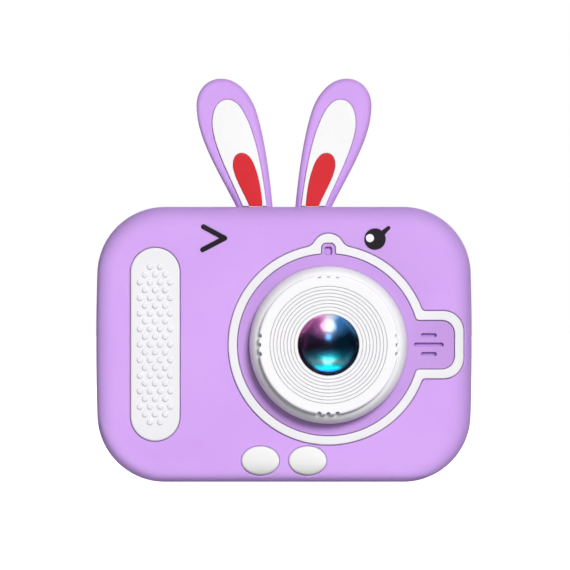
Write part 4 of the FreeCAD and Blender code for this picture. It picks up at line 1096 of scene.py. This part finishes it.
def softbox(name, place, aim, size, power, colour=(1, 1, 1), only=None, turn=0.0):
    """A softbox seen only in glossy things, or in one group; turned by degrees round the lens's axis."""
    light = bpy.data.lights.new(name, "AREA")
    light.shape, light.size, light.size_y = "ELLIPSE", size[0], size[1]
    light.energy, light.color = power, colour
    made = bpy.data.objects.new(name, light)
    facing = (Vector(aim) - Vector(place)).to_track_quat("-Z", "Y").to_matrix().to_4x4()
    axis = Matrix.Translation(LENS_FRONT)
    round_axis = axis @ Matrix.Rotation(math.radians(turn), 4, "Y") @ axis.inverted()
    made.matrix_world = round_axis @ Matrix.Translation(place) @ facing
    made.visible_camera = made.visible_diffuse = False
    if only:
        made.light_linking.receiver_collection = only
    bpy.context.scene.collection.objects.link(made)


sky_lamp("front_wash", (0.0, -1.0, -0.12), 110, 0.44, all_but_lens)
sky_lamp("key_above_right", (0.3, -1.0, 0.42), 20, 2.66, all_but_lens)
sky_lamp("fill_low_left", (-0.6, -0.3, -1.0), 80, 3.1, jacket_alone)
sky_lamp("back_wash", (0.15, 1.0, 0.2), 70, 2.4, all_but_lens)
softbox("sheen_above", (0.25, -0.8, 0.75), AIM, (0.7, 0.4), 1.6)
softbox("lens_glint", (LENS_AT, -0.85, 0.57), LENS_FRONT, (0.44, 0.34), 13.0, only=lens_things)
softbox("lens_halo", (LENS_AT, -0.9, 0.6), LENS_FRONT, (0.95, 0.6), 6.0, only=lens_things)
softbox("lens_glow", (LENS_AT, -0.95, 0.62), LENS_FRONT, (1.5, 0.85), 6.5, only=lens_things)
for turn, power in ((-48, 3.5), (0, 8.0), (48, 3.0)):
    softbox("lens_strip", (LENS_AT, -0.6, 0.78), LENS_FRONT, (0.75, 0.24), power, only=lens_things,
            turn=turn)
softbox("lens_spark", (LENS_AT, -1.0, 0.27), LENS_FRONT, (0.14, 0.14), 4.0, (0.12, 0.45, 1.0),
        lens_things)
softbox("lens_low_glow", (LENS_AT, -0.9, -0.45), LENS_FRONT, (1.8, 0.9), 2.0, (0.08, 0.6, 0.8),
        lens_things)
for turn in (-80, 118):
    softbox("lens_arc", (LENS_AT, -0.75, 0.65), LENS_FRONT, (0.6, 0.12), 0.3, (0.7, 0.8, 1.0),
            lens_things, turn)

camera = bpy.data.cameras.new("camera")
camera.lens, camera.sensor_width = 1000.0, 36.0
CAMERA_Z, VIEW_W = 0.0524, 0.152
eye_piece = bpy.data.objects.new("camera", camera)
eye_piece.location = (0.00027, 0.003 - VIEW_W * camera.lens / camera.sensor_width, CAMERA_Z)
eye_piece.rotation_euler = (math.radians(90), 0, 0)
camera.clip_end = 20.0
bpy.context.scene.collection.objects.link(eye_piece)
bpy.context.scene.camera = eye_piece
bpy.context.scene.view_settings.view_transform = "Standard"
